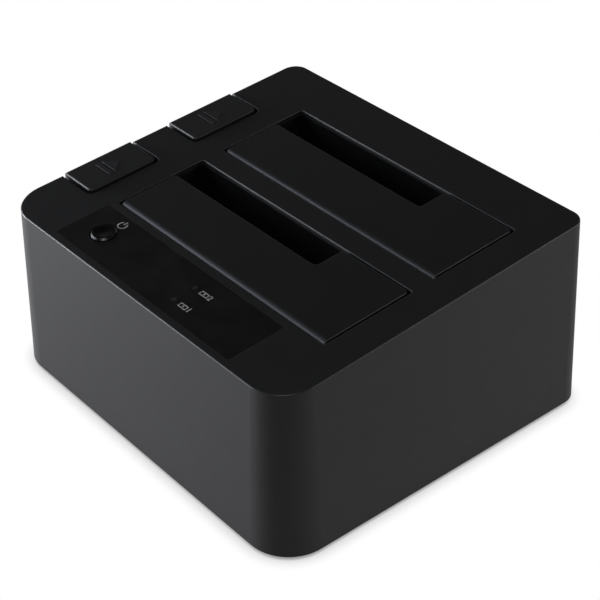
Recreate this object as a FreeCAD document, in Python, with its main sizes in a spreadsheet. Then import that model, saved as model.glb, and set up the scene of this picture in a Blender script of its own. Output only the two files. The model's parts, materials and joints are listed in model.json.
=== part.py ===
"""Two-bay drive dock: a desktop housing that takes two bare drives upright, as a parametric assembly.

Frame: millimetres, +Z up, +X right and -Y front as the user faces the status panel. The origin is the
centre of the footprint, on the surface that the rubber feet stand on.

Every size is a cell of the sheet "Sizes". PLACES holds the positions worked out from them, as formulas
in the same names, and each feature is bound to those formulas. The "top frame" follows the sloped top
face: its origin is the middle of the face's front edge, x runs right, v runs back up the slope, and w
stands square to the face.
"""
import FreeCAD
import Part

import math
import os
import re

import Sketcher

SIZES = {
    # housing
    "base_w": 147.5,
    "left_margin": 29.25,
    "front_margin": 28.65,
    "rear_margin": 22.45,
    "foot_drop": 1.5,
    "front_h": 59.5,
    "slope": 4.35,
    "draft": 2.1,
    "corner_front": 15.0,
    "corner_rear": 8.0,
    "wall": 2.2,
    "edge_r": 0.5,
    # drive bays
    "bay_len": 104.0,
    "bay_depth": 35.0,
    "bay_rib": 8.6,
    "mouth_r": 1.0,
    "notch_len": 73.3,
    "notch_depth": 11.7,
    "well_wall": 1.8,
    "rim_gap": 0.3,
    "seat_z": 17.0,
    "floor_t": 2.0,
    # bay doors
    "door_gap": 0.5,
    "door_end_gap": 0.8,
    "door_plate": 2.0,
    "barrel_r": 2.6,
    "rib_t": 1.2,
    "rib_depth": 1.8,
    "pin_r": 0.75,
    "fit": 0.05,
    "tab_w": 10.0,
    "tab_reach": 1.8,
    # eject buttons and levers
    "slot_len": 28.9,
    "slot_lead": 4.0,
    "slot_reach": 18.85,
    "slot_depth": 9.4,
    "slot_r": 2.2,
    "button_gap": 1.0,
    "button_proud": 0.6,
    "button_travel": 6.2,
    "skirt_drop": 18.0,
    "skirt_t": 1.8,
    "rod_r": 3.0,
    "guide_t": 1.5,
    "slide_gap": 0.3,
    "lever_arm": 12.0,
    "lever_swing": 15.0,
    "lever_inset": 21.75,
    "lever_z": 17.8,
    "lever_w": 8.0,
    "tip_r": 1.5,
    "hub_r": 3.2,
    "lever_pin_r": 1.0,
    "shelf_z": 26.0,
    "shelf_t": 2.0,
    "wire_r": 0.4,
    "spring_turns": 5.0,
    # status panel and power button
    "panel_w": 90.5,
    "panel_d": 21.0,
    "panel_lead": 4.85,
    "panel_recess": 1.4,
    "panel_gap": 0.2,
    "power_inset": 11.85,
    "power_lead": 10.6,
    "power_r": 4.3,
    "power_gap": 0.45,
    "power_travel": 0.5,
    "led_inset": 34.35,
    "led_lead": 6.0,
    "led_pitch": 8.0,
    "pipe_r": 0.9,
    "button_board_w": 9.0,
    "button_board_t": 1.2,
    # boards, sockets and fasteners
    "cover_t": 2.0,
    "cover_gap": 0.3,
    "board_z": 9.0,
    "board_t": 1.6,
    "drive_edge_to_socket": 30.12,
    "drive_base_to_socket": 3.5,
    "drive_slack": 0.5,
    "socket_w": 38.0,
    "socket_d": 5.6,
    "socket_top": 22.5,
    "boss_inset_x": 8.75,
    "boss_inset_y": 10.85,
    "boss_r": 3.5,
    "screw_r": 1.2,
    "foot_r": 6.0,
    "foot_seat": 0.8,
    "foot_inset_x": 17.75,
    "foot_inset_y": 17.85,
    "board_left_over": 13.5,
    "board_right_over": 0.5,
    "board_lead": 3.8,
    "board_rear": 5.35,
    "stud_r": 3.0,
    "stud_inset": 6.0,
    "small_screw_r": 0.9,
    "small_head_r": 2.2,
    "head_t": 1.3,
    "leg_inset": 6.0,
    "usb_inset": 59.75,
    "usb_w": 12.2,
    "usb_h": 12.6,
    "usb_depth": 17.0,
    "inlet_inset": 35.75,
    "inlet_w": 9.0,
    "inlet_h": 11.0,
    "inlet_depth": 13.5,
    "inlet_r": 3.2,
    "plug_depth": 9.0,
    "vent_w": 2.4,
    "vent_pitch": 7.4,
    "vent_len": 30.0,
    "can_r": 4.0,
    "can_h": 12.0,
    "blade_t": 1.4,
    "blade_gap": 2.0,
    "blade_shift": 5.1,
    "power_blade": 20.8,
    "signal_blade": 10.6,
    "switch_w": 6.0,
    "switch_top": 3.0,
}

PLACES = {
    "bay_pitch": "bay_depth + bay_rib",
    "base_d": "front_margin + bay_pitch + bay_depth + rear_margin",
    "top_y": "-base_d/2 + front_h*tan(draft)",
    "top_z": "foot_drop + front_h",
    "cover_top": "foot_drop + cover_t",
    "board_top": "board_z + board_t",
    "floor_z": "seat_z - floor_t",
    "bay_left": "left_margin - base_w/2",
    "bay_right": "bay_left + bay_len",
    "bay_x": "bay_left + bay_len/2",
    "bay_front": "front_margin - base_d/2",
    "bay_back": "bay_front + bay_depth",
    "hinge_y": "bay_front + door_gap + barrel_r",
    "slot_front": "bay_front - slot_lead",
    "slot_inner": "slot_reach - base_w/2",
    "slot_back": "slot_front + slot_len",
    "slot_mid": "slot_front + slot_len/2",
    "pin_len": "bay_len + 2*well_wall",
    "lever_x": "lever_inset - base_w/2",
    "rod_x": "lever_x - lever_arm",
    "lever_rise": "lever_arm*sin(lever_swing)",
    "rod_end": "lever_z + lever_rise + tip_r + slide_gap",
    "bracket_in": "bay_left - well_wall/2",
    "bar_x": "lever_x + lever_arm",
    "socket_x": "bay_left + drive_slack + drive_edge_to_socket",
    "socket_y": "bay_back - drive_slack - drive_base_to_socket",
    "panel_front": "panel_lead - base_d/2",
    "power_x": "power_inset - panel_w/2",
    "power_y": "panel_front + power_lead",
    "led_x": "panel_w/2 - led_inset",
    "led_y": "panel_front + led_lead",
    "boss_x": "base_w/2 - boss_inset_x",
    "boss_y": "base_d/2 - boss_inset_y",
    "foot_x": "base_w/2 - foot_inset_x",
    "foot_y": "base_d/2 - foot_inset_y",
    "board_left": "bay_left - board_left_over",
    "board_right": "bay_right + board_right_over",
    "board_front": "bay_front - board_lead",
    "board_back": "base_d/2 - board_rear",
    "usb_x": "usb_inset - base_w/2",
    "inlet_x": "inlet_inset - base_w/2",
    "door_len": "bay_len - 2*door_end_gap",
    "door_left": "bay_left + door_end_gap",
    "door_right": "bay_right - door_end_gap",
    "door_reach": "(bay_depth - 2*door_gap - barrel_r)/cos(slope)",
    "notch_reach": "(bay_depth - notch_depth - door_gap - barrel_r)/cos(slope)",
    "notch_right": "bay_left + notch_len",
    "tab_x": "bay_right - 1.5*tab_w",
    "port_face": "base_d/2 - (board_top + 13 - foot_drop)*tan(draft) - 0.3",
}

WORD = re.compile(r"[a-z][a-z_0-9]*")
VECTOR = FreeCAD.Vector


def formula(text):
    """The formula with each place worked out and each size pointing at its cell."""

    def written_out(match):
        word = match.group()
        if word in PLACES:
            return "(" + formula(PLACES[word]) + ")"
        if word in SIZES:
            return "Sizes." + word
        return word

    return WORD.sub(written_out, str(text))


def surface_z(y):
    """Height of the sloped top face above the ground, at the distance y."""
    return f"(top_z + (({y}) - top_y)*tan(slope))"


def along(y):
    """Distance up the slope, in the top frame, of the plan distance y."""
    return f"((({y}) - top_y)/cos(slope))"


def side_inset(z):
    """How far a drafted wall stands inside the footprint at the height z."""
    return f"((({z}) - foot_drop)*tan(draft))"


def on_top(w="0"):
    """Where a sketch lies in the top frame, w above the face."""
    return dict(base=(0, f"top_y - ({w})*sin(slope)", f"top_z + ({w})*cos(slope)"), tilt="slope")


def hinge_z(bay):
    return f"({surface_z(f'hinge_y + {bay}*bay_pitch')} - barrel_r/cos(slope))"


def start_document():
    doc = FreeCAD.newDocument("drive_dock")
    sheet = doc.addObject("Spreadsheet::Sheet", "Sizes")
    for row, (name, size) in enumerate(SIZES.items(), 1):
        sheet.set(f"A{row}", name)
        sheet.set(f"B{row}", str(size))
        sheet.setAlias(f"B{row}", name)
    doc.recompute()
    return doc, sheet


DOC, SHEET = start_document()


def value(text):
    """What the formula comes to now, in millimetres or degrees."""
    return float(SHEET.evalExpression(formula(text)))


def bind(thing, prop, text):
    thing.setExpression(prop, formula(text))


def place(thing, x=0, y=0, z=0, axis=(1, 0, 0), angle=0):
    """Stand a sub-part at a point of the row frame, turned about one axis."""
    at = VECTOR(value(x), value(y), value(z))
    thing.Placement = FreeCAD.Placement(at, FreeCAD.Rotation(VECTOR(*axis), value(angle)))
    for name, text in zip("xyz", (x, y, z)):
        bind(thing, f"Placement.Base.{name}", text)
    if angle:
        bind(thing, "Placement.Rotation.Angle", angle)
    return thing


def place_on_top(thing, x, y, w):
    """Stand a sub-part square to the top face, w above the face over the plan point x, y."""
    return place(
        thing, x, f"({y}) - ({w})*sin(slope)", f"{surface_z(y)} + ({w})*cos(slope)", angle="slope"
    )


def new_body(name):
    body = DOC.addObject("PartDesign::Body", name)
    body.Label = name
    return body


def volume(body):
    DOC.recompute()
    shape = body.Shape
    return 0.0 if shape.isNull() else shape.Volume


class Outline:
    """A sketch on one of a body's own planes, with every point and radius held by a formula."""

    def __init__(self, body, name, plane="XY_Plane", base=(0, 0, 0), tilt=0):
        self.body = body
        self.sketch = body.newObject("Sketcher::SketchObject", name)
        origin = next(f for f in body.Origin.OriginFeatures if f.Role == plane)
        self.sketch.AttachmentSupport = [(origin, "")]
        self.sketch.MapMode = "FlatFace"
        turned = FreeCAD.Rotation(VECTOR(1, 0, 0), value(tilt))
        self.sketch.AttachmentOffset = FreeCAD.Placement(VECTOR(*map(value, base)), turned)
        for axis, text in zip("xyz", base):
            bind(self.sketch, f"AttachmentOffset.Base.{axis}", text)
        if tilt:
            bind(self.sketch, "AttachmentOffset.Rotation.Angle", tilt)

    def hold(self, kind, *parts, size=None):
        """Add one constraint, driven by a formula when it has a size."""
        if size is None:
            self.sketch.addConstraint(Sketcher.Constraint(kind, *parts))
            return
        index = self.sketch.addConstraint(Sketcher.Constraint(kind, *parts, value(size)))
        name = f"size_{index}"
        self.sketch.renameConstraint(index, name)
        bind(self.sketch, f"Constraints.{name}", size)

    def pin_point(self, edge, end, x, y):
        self.hold("DistanceX", -1, 1, edge, end, size=x)
        self.hold("DistanceY", -1, 1, edge, end, size=y)

    def polygon(self, points):
        corners = [VECTOR(value(x), value(y), 0) for x, y in points]
        first = self.sketch.GeometryCount
        total = len(points)
        for i in range(total):
            self.sketch.addGeometry(Part.LineSegment(corners[i], corners[(i + 1) % total]))
        for i, (x, y) in enumerate(points):
            self.hold("Coincident", first + i, 2, first + (i + 1) % total, 1)
            self.pin_point(first + i, 1, x, y)
        return self

    def box(self, x0, x1, y0, y1):
        return self.polygon([(x0, y0), (x1, y0), (x1, y1), (x0, y1)])

    def circle(self, x, y, r):
        edge = self.sketch.addGeometry(
            Part.Circle(VECTOR(value(x), value(y), 0), VECTOR(0, 0, 1), value(r))
        )
        self.pin_point(edge, 3, x, y)
        self.hold("Radius", edge, size=r)
        return self

    def rounded(self, x0, x1, y0, y1, radii):
        """A rectangle with its own radius at the front left, front right, back right, back left."""
        a, b, c, d = (value(t) for t in (x0, x1, y0, y1))
        r = [value(t) for t in radii]
        first = self.sketch.GeometryCount
        lines = [
            ((a + r[0], c), (b - r[1], c)),
            ((b, c + r[1]), (b, d - r[2])),
            ((b - r[2], d), (a + r[3], d)),
            ((a, d - r[3]), (a, c + r[0])),
        ]
        for start, end in lines:
            self.sketch.addGeometry(Part.LineSegment(VECTOR(*start, 0), VECTOR(*end, 0)))
        centres = [(b - r[1], c + r[1]), (b - r[2], d - r[2]), (a + r[3], d - r[3]), (a + r[0], c + r[0])]
        spans = [(270, 360, r[1]), (0, 90, r[2]), (90, 180, r[3]), (180, 270, r[0])]
        for centre, (start, end, radius) in zip(centres, spans):
            ring = Part.Circle(VECTOR(*centre, 0), VECTOR(0, 0, 1), radius)
            arc = Part.ArcOfCircle(ring, math.radians(start), math.radians(end))
            self.sketch.addGeometry(arc)
        for i in range(4):
            line, arc = first + i, first + 4 + i
            self.hold("Tangent", line, 2, arc, 1)
            self.hold("Tangent", arc, 2, first + (i + 1) % 4, 1)
            self.hold("Radius", arc, size=radii[(i + 1) % 4])
        for i, kind in enumerate(("Horizontal", "Vertical", "Horizontal", "Vertical")):
            self.hold(kind, first + i)
        self.hold("DistanceY", -1, 1, first, 1, size=y0)
        self.hold("DistanceX", -1, 1, first + 1, 1, size=x1)
        self.hold("DistanceY", -1, 1, first + 2, 1, size=y1)
        self.hold("DistanceX", -1, 1, first + 3, 1, size=x0)
        return self

    def pad(self, length, down=False, middle=False, taper=None):
        """Add material along the sketch's normal, or against it when it goes down."""
        before = volume(self.body)
        pad = self.body.newObject("PartDesign::Pad", self.sketch.Name + "_pad")
        pad.Profile = self.sketch
        pad.SideType = "Symmetric" if middle else "One side"
        pad.Reversed = down
        bind(pad, "Length", length)
        if taper:
            bind(pad, "TaperAngle", taper)
        if volume(self.body) <= before:
            raise RuntimeError(f"{pad.Name} adds nothing")
        return pad

    def pocket(self, depth=None, up=False, middle=False):
        """Cut against the sketch's normal, or along it when it goes up; no depth cuts through all."""
        before = volume(self.body)
        cut = self.body.newObject("PartDesign::Pocket", self.sketch.Name + "_cut")
        cut.Profile = self.sketch
        cut.SideType = "Symmetric" if middle else "One side"
        cut.Reversed = up
        if depth is None:
            cut.Type = "ThroughAll"
        else:
            bind(cut, "Length", depth)
        if volume(self.body) >= before:
            raise RuntimeError(f"{cut.Name} cuts nothing")
        return cut

    def revolve(self):
        turn = self.body.newObject("PartDesign::Revolution", self.sketch.Name + "_turn")
        turn.Profile = self.sketch
        turn.ReferenceAxis = (self.sketch, ["V_Axis"])
        turn.Angle = 360
        DOC.recompute()
        return turn


def dress(kind, body, feature, names, size):
    """Fillet or chamfer the named edges or faces of a feature, by a formula."""
    edge = body.newObject(f"PartDesign::{kind}", f"{feature.Name}_{kind.lower()}")
    edge.Base = (feature, names)
    bind(edge, "Radius" if kind == "Fillet" else "Size", size)
    DOC.recompute()
    return edge


def edges_of(feature, test):
    return [f"Edge{i}" for i, edge in enumerate(feature.Shape.Edges, 1) if test(edge)]


def runs_along(edge, axis):
    """Whether a straight edge lies along the axis."""
    if len(edge.Vertexes) < 2 or not isinstance(edge.Curve, Part.Line):
        return False
    return abs(edge.Curve.Direction.dot(VECTOR(*axis))) > 0.9999


def solid(kind, name, **sizes):
    """A Part primitive with each size bound to a formula."""
    thing = DOC.addObject(f"Part::{kind}", name)
    for prop, text in sizes.items():
        bind(thing, prop, text)
    return thing


def together(kind, name, pieces):
    """Fuse pieces that touch, or keep loose pieces of one kind in a compound."""
    DOC.recompute()
    group = DOC.addObject(f"Part::{kind}", name)
    if kind == "MultiFuse":
        group.Shapes = pieces
    else:
        group.Links = pieces
    group.Label = name
    return group


# ---------------------------------------------------------------- housing


def cut_to_slope(body, name, drop):
    """Take away everything of a body that lies above the top face, lowered by drop."""
    ridge = Outline(body, name, "YZ_Plane")
    lowered = f"- ({drop})/cos(slope)"
    ridge.polygon(
        [
            ("-base_d", surface_z("-base_d") + lowered),
            ("base_d", surface_z("base_d") + lowered),
            ("base_d", "3*front_h"),
            ("-base_d", "3*front_h"),
        ]
    )
    return ridge.pocket(middle=True)


CORNERS = ("corner_front", "corner_front", "corner_rear", "corner_rear")


def drafted_block(name, inset, drop):
    """The housing's drafted form, its sides moved in by inset and its sloped top down by drop."""
    body = new_body(name)
    foot = Outline(body, f"{name}_footprint", base=(0, 0, "foot_drop"))
    radii = [f"{corner} - {inset}" for corner in CORNERS]
    half_w, half_d = f"base_w/2 - {inset}", f"base_d/2 - {inset}"
    foot.rounded(f"-({half_w})", half_w, f"-({half_d})", half_d, radii)
    foot.pad("front_h + base_d*tan(slope) + wall", taper="-draft")
    cut_to_slope(body, f"{name}_slope", drop)
    return body


def top_housing():
    """Drafted shell with a sloped top, the bay mouths, the button slots and the panel recess."""
    body = drafted_block("top_housing", "0", "0")
    hollow = body.newObject("PartDesign::Boolean", "hollow")
    hollow.Type = "Cut"
    hollow.addObject(drafted_block("housing_cavity", "wall", "wall"))
    DOC.recompute()

    mouths = Outline(body, "bay_mouths", base=(0, 0, "foot_drop"))
    for bay in (0, 1):
        shift = f"+ {bay}*bay_pitch"
        mouths.rounded("bay_left", "bay_right", f"bay_front {shift}", f"bay_back {shift}", ["mouth_r"] * 4)
    mouths.pocket(up=True)

    slots = Outline(body, "button_slots", **on_top())
    for bay in (0, 1):
        front, back = (along(f"{end} + {bay}*bay_pitch") for end in ("slot_front", "slot_back"))
        slots.rounded("-base_w/2 - slot_depth", "slot_inner", front, back, ["slot_r"] * 4)
    slots.pocket("slot_depth")

    recess = Outline(body, "panel_recess_outline", **on_top())
    panel = [along("panel_front"), along("panel_front + panel_d")]
    recess.rounded("-panel_w/2", "panel_w/2", *panel, ["mouth_r"] * 4)
    cut = recess.pocket("panel_recess")

    normal = VECTOR(0, -math.sin(math.radians(value("slope"))), math.cos(math.radians(value("slope"))))
    top_faces = [
        f"Face{i}"
        for i, face in enumerate(cut.Shape.Faces, 1)
        if face.normalAt(0, 0).dot(normal) > 0.9999
        and abs((face.CenterOfMass - VECTOR(0, value("top_y"), value("top_z"))).dot(normal)) < 0.01
    ]
    dress("Fillet", body, cut, top_faces, "edge_r")

    holes = Outline(body, "panel_holes", **on_top())
    holes.circle("power_x", along("power_y"), "power_r + power_gap")
    for led in (0, 1):
        holes.circle("led_x", along(f"led_y + {led}*led_pitch"), "pipe_r + 2*fit")
    holes.pocket("wall + edge_r")

    grooves = Outline(body, "hinge_grooves", "YZ_Plane", base=(0, 0, "bay_x"))
    for bay in (0, 1):
        grooves.circle(f"hinge_y + {bay}*bay_pitch", hinge_z(bay), "pin_r + fit")
    grooves.pocket("pin_len + 2*slide_gap", middle=True)

    for bay in (0, 1):
        for end, side in (("slot_front", -1), ("slot_back", 1)):
            edge = f"{end} + {bay}*bay_pitch"
            outer = f"{edge} + {side}*guide_t"
            low_z = f"{surface_z(f'slot_front + {bay}*bay_pitch')} - skirt_drop"
            rib = Outline(body, f"guide_{end}_{bay + 1}", base=(0, 0, low_z))
            near, far = (edge, outer) if side > 0 else (outer, edge)
            wall_x = f"-base_w/2 + wall/2 + {side_inset(surface_z(edge))}"
            rib.box(wall_x, "rod_x + rod_r", near, far)
            rib.pad(f"{surface_z(edge)} - wall/2 - ({low_z})")

    for name, side in (("front", -1), ("rear", 1)):
        bosses = Outline(body, f"{name}_bosses", base=(0, 0, "cover_top"))
        for across in (-1, 1):
            bosses.circle(f"{across}*boss_x", f"{side}*boss_y", "boss_r")
        bosses.pad(f"{surface_z(f'{side}*boss_y')} - wall/2 - cover_top")
    pilots = Outline(body, "screw_pilots", base=(0, 0, "cover_top"))
    for across in (-1, 1):
        for side in (-1, 1):
            pilots.circle(f"{across}*boss_x", f"{side}*boss_y", "screw_r")
    pilots.pocket("8*screw_r", up=True)

    middle = "(wall + panel_recess)/2"
    posts = Outline(body, "board_posts", **on_top(f"-{middle}"))
    for x in BOARD_POSTS:
        posts.circle(x, along("power_y"), "stud_r")
    posts.pad(f"button_board_w - {middle}", down=True)
    post_pilots = Outline(body, "post_pilots", **on_top("-button_board_w"))
    for x in BOARD_POSTS:
        post_pilots.circle(x, along("power_y"), "small_screw_r")
    post_pilots.pocket("5*small_screw_r", up=True)

    ports = Outline(body, "port_windows", "XZ_Plane", base=(0, 0, "-(base_d/2 - 2*wall)"))
    for port in ("usb", "inlet"):
        half = f"({port}_w/2 + slide_gap)"
        low, high = "board_top - slide_gap", f"board_top + {port}_h + slide_gap"
        ports.box(f"{port}_x - {half}", f"{port}_x + {half}", low, high)
    ports.pocket("3*wall")
    return body


BOARD_POSTS = ("power_x - 2.2*power_r", "led_x + 2.5*power_r")
HOUSING_SCREWS = [(f"{across}*boss_x", f"{side}*boss_y") for across in (-1, 1) for side in (-1, 1)]
FEET = [(f"{across}*foot_x", f"{side}*foot_y") for across in (-1, 1) for side in (-1, 1)]
BOARD_SCREWS = [
    (x, y)
    for x in ("board_left + stud_inset", "board_right - stud_inset")
    for y in ("board_front + stud_inset", "board_back - stud_inset")
]
WELL_LEGS = [
    ("bay_left + 3*leg_inset", "bay_front + leg_inset"),
    ("bay_right - 3*leg_inset", "bay_front + leg_inset"),
    ("bay_right - leg_inset", "bay_back - leg_inset"),
]


def for_bay(y, bay):
    return f"({y} + {bay}*bay_pitch)"


def bottom_cover():
    """Plate that closes the housing, with board studs, foot seats, vents and sunk screw holes."""
    body = new_body("bottom_cover")
    inset = f"(wall + cover_gap + {side_inset('cover_top')})"
    half_w, half_d = f"(base_w/2 - {inset})", f"(base_d/2 - {inset})"
    radii = [f"{corner} - {inset}" for corner in CORNERS]
    plate = Outline(body, "cover_outline", base=(0, 0, "foot_drop"))
    plate.rounded(f"-{half_w}", half_w, f"-{half_d}", half_d, radii)
    plate.pad("cover_t")

    studs = Outline(body, "board_studs", base=(0, 0, "cover_top"))
    for x, y in BOARD_SCREWS:
        studs.circle(x, y, "stud_r")
    studs.pad("board_z - cover_top")
    bores = Outline(body, "stud_bores", base=(0, 0, "board_z"))
    for x, y in BOARD_SCREWS:
        bores.circle(x, y, "small_screw_r")
    bores.pocket("board_z - cover_top")

    seats = Outline(body, "foot_seats", base=(0, 0, "foot_drop"))
    for x, y in FEET:
        seats.circle(x, y, "foot_r + slide_gap")
    seats.pocket("foot_seat", up=True)

    holes = Outline(body, "screw_holes", base=(0, 0, "foot_drop"))
    for x, y in HOUSING_SCREWS:
        holes.circle(x, y, "screw_r + slide_gap")
    holes.pocket("cover_t", up=True)
    sinks = Outline(body, "head_sinks", base=(0, 0, "foot_drop"))
    for x, y in HOUSING_SCREWS:
        sinks.circle(x, y, "2.4*screw_r")
    sinks.pocket("cover_t/2", up=True)

    vents = Outline(body, "vent_slots", base=(0, 0, "foot_drop"))
    for column in range(-3, 4):
        x = f"{column}*vent_pitch"
        vents.box(f"{x} - vent_w/2", f"{x} + vent_w/2", "-vent_len/2", "vent_len/2")
    vents.pocket("cover_t", up=True)
    return body


def rubber_feet():
    """Four rubber pucks pressed into the cover, each with a bevelled tread."""
    feet = []
    for i, (x, y) in enumerate(FEET, 1):
        tread = solid("Cone", f"tread_{i}", Radius1="0.9*foot_r", Radius2="foot_r", Height="foot_drop/2")
        puck = solid("Cylinder", f"puck_{i}", Radius="foot_r", Height="foot_drop/2 + foot_seat")
        place(tread, x, y, 0)
        place(puck, x, y, "foot_drop/2")
        feet.append(together("MultiFuse", f"foot_{i}", [tread, puck]))
    return together("Compound", "rubber_feet", feet)


def screws(name, spots, seat, length, up=True, tilted=False, big=False):
    """One screw at each spot: a flat head against the seat and a shank that bites beyond it."""
    thread, head = ("screw_r", "2*screw_r") if big else ("small_screw_r", "small_head_r")
    made = []
    for i, (x, y) in enumerate(spots, 1):
        cap = solid("Cylinder", f"{name}_head_{i}", Radius=head, Height="head_t")
        rod = solid("Cylinder", f"{name}_shank_{i}", Radius=f"{thread} - fit", Height=f"{length} + head_t/2")
        put = place_on_top if tilted else place
        put(cap, x, y, f"{seat} - head_t" if up else seat)
        put(rod, x, y, f"{seat} - head_t/2" if up else f"{seat} - ({length})")
        made.append(together("MultiFuse", f"{name}_{i}", [cap, rod]))
    return together("Compound", name, made)


def main_board():
    """Circuit board under both wells, on the cover's studs."""
    body = new_body("main_board")
    board = Outline(body, "board_outline", base=(0, 0, "board_z"))
    board.rounded("board_left", "board_right", "board_front", "board_back", ["mouth_r"] * 4)
    board.pad("board_t")
    holes = Outline(body, "board_holes", base=(0, 0, "board_z"))
    for x, y in BOARD_SCREWS:
        holes.circle(x, y, "small_screw_r + fit")
    for bay in (0, 1):
        for x, y in WELL_LEGS:
            holes.circle(x, for_bay(y, bay), "small_screw_r + fit")
    holes.pocket("board_t", up=True)
    return body


def board_chips():
    """The bridge controller, its memory and a power regulator, flat on the board."""
    chips = []
    spots = [
        ("bridge", "bay_x + 2*stud_inset", "bay_front + 2.5*leg_inset", "2.4*stud_inset"),
        ("memory", "bay_x - 2*stud_inset", "bay_front + 2.5*leg_inset", "stud_inset"),
        ("regulator", "board_right - 5*stud_inset", "board_back - 1.5*stud_inset", "1.2*stud_inset"),
    ]
    for name, x, y, side in spots:
        chip = solid("Box", f"chip_{name}", Length=side, Width=side, Height="head_t")
        place(chip, f"{x} - ({side})/2", f"{y} - ({side})/2", "board_top")
        chips.append(chip)
    return together("Compound", "board_chips", chips)


def board_capacitors():
    """Upright electrolytic cans behind the rear well."""
    cans = []
    for i in range(3):
        can = solid("Cylinder", f"can_{i + 1}", Radius="can_r", Height="can_h")
        place(can, f"usb_x + usb_w + {i}*2.6*can_r", "board_back - 2*can_r", "board_top")
        cans.append(can)
    return together("Compound", "board_capacitors", cans)


def sata_socket(bay):
    """Upright drive socket: a block with the long and the short L-shaped slot."""
    body = new_body(f"sata_socket_{bay + 1}")
    place(body, "socket_x", for_bay("socket_y", bay), "board_top")
    block = Outline(body, f"socket_block_{bay + 1}")
    block.rounded("-socket_w/2", "socket_w/2", "-socket_d/2", "socket_d/2", ["mouth_r"] * 4)
    block.pad("socket_top - board_top")
    slots = Outline(body, f"socket_slots_{bay + 1}", base=(0, 0, "socket_top - board_top"))
    low, high, key = "-blade_t/2", "blade_t/2", "1.5*blade_t"
    power_start, signal_start = "blade_shift - blade_gap/2 - power_blade", "blade_shift + blade_gap/2"
    for start, length in ((power_start, "power_blade"), (signal_start, "signal_blade")):
        end, inner = f"{start} + {length}", f"{start} + blade_t"
        slots.polygon([(start, low), (end, low), (end, high), (inner, high), (inner, key), (start, key)])
    slots.pocket("socket_top - seat_z")
    return body


def usb_mouth(body, name, depth, inset):
    """The stepped outline of a square data plug, smaller by the inset, at a depth behind the port's face."""
    mouth = Outline(body, name, "XZ_Plane", base=(0, 0, f"-(port_face - ({depth}))"))
    wide, thin, skin = f"(0.35*usb_w - {inset})", f"(0.24*usb_w - {inset})", f"(0.1*usb_h + {inset})"
    step, shoulder = f"board_top + 0.58*usb_h - {inset}", f"board_top + 0.68*usb_h - {inset}"
    right = [
        (f"usb_x + {wide}", f"board_top + {skin}"),
        (f"usb_x + {wide}", step),
        (f"usb_x + {thin}", shoulder),
        (f"usb_x + {thin}", f"board_top + usb_h - {skin}"),
    ]
    left = [(x.replace("usb_x +", "usb_x -"), z) for x, z in reversed(right)]
    return mouth.polygon(right + left)


def usb_port():
    """Metal shell of the square data port, with its stepped mouth open from end to end."""
    body = new_body("usb_port")
    shell = Outline(body, "usb_shell", "XZ_Plane", base=(0, 0, "-port_face"))
    shell.box("usb_x - usb_w/2", "usb_x + usb_w/2", "board_top", "board_top + usb_h")
    shell.pad("usb_depth")
    usb_mouth(body, "usb_mouth", "0", "0").pocket("usb_depth", up=True)
    return body


def usb_insulator():
    """Moulded block that closes the data port's shell behind the plug and carries the contact tongue."""
    body = new_body("usb_insulator")
    usb_mouth(body, "usb_block", "plug_depth", "fit").pad("usb_depth - plug_depth")
    tongue = Outline(body, "usb_tongue", "XZ_Plane", base=(0, 0, "-(port_face - plug_depth)"))
    tongue.box("usb_x - 0.22*usb_w", "usb_x + 0.22*usb_w", "board_top + 0.26*usb_h", "board_top + 0.46*usb_h")
    tongue.pad("plug_depth - 1", down=True)
    return body


def power_inlet():
    """Moulded case of the round low-voltage inlet, bored for the plug and for its centre pin."""
    body = new_body("power_inlet")
    case = Outline(body, "inlet_case", "XZ_Plane", base=(0, 0, "-port_face"))
    case.box("inlet_x - inlet_w/2", "inlet_x + inlet_w/2", "board_top", "board_top + inlet_h")
    case.pad("inlet_depth")
    bores = (("plug_bore", "inlet_r", "plug_depth"), ("pin_seat", "inlet_r/3 + fit", "inlet_depth - wall"))
    for name, radius, depth in bores:
        bore = Outline(body, name, "XZ_Plane", base=(0, 0, "-port_face"))
        bore.circle("inlet_x", "board_top + inlet_h/2", radius)
        bore.pocket(depth, up=True)
    return body


def inlet_pin():
    """Centre pin of the power inlet, from its seat in the case to just inside the mouth."""
    body = new_body("inlet_pin")
    pin = Outline(body, "pin_outline", "XZ_Plane", base=(0, 0, "-(port_face - inlet_depth + wall)"))
    pin.circle("inlet_x", "board_top + inlet_h/2", "inlet_r/3")
    pin.pad("inlet_depth - wall - 1", down=True)
    return body


# ---------------------------------------------------------------- drive bays


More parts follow.
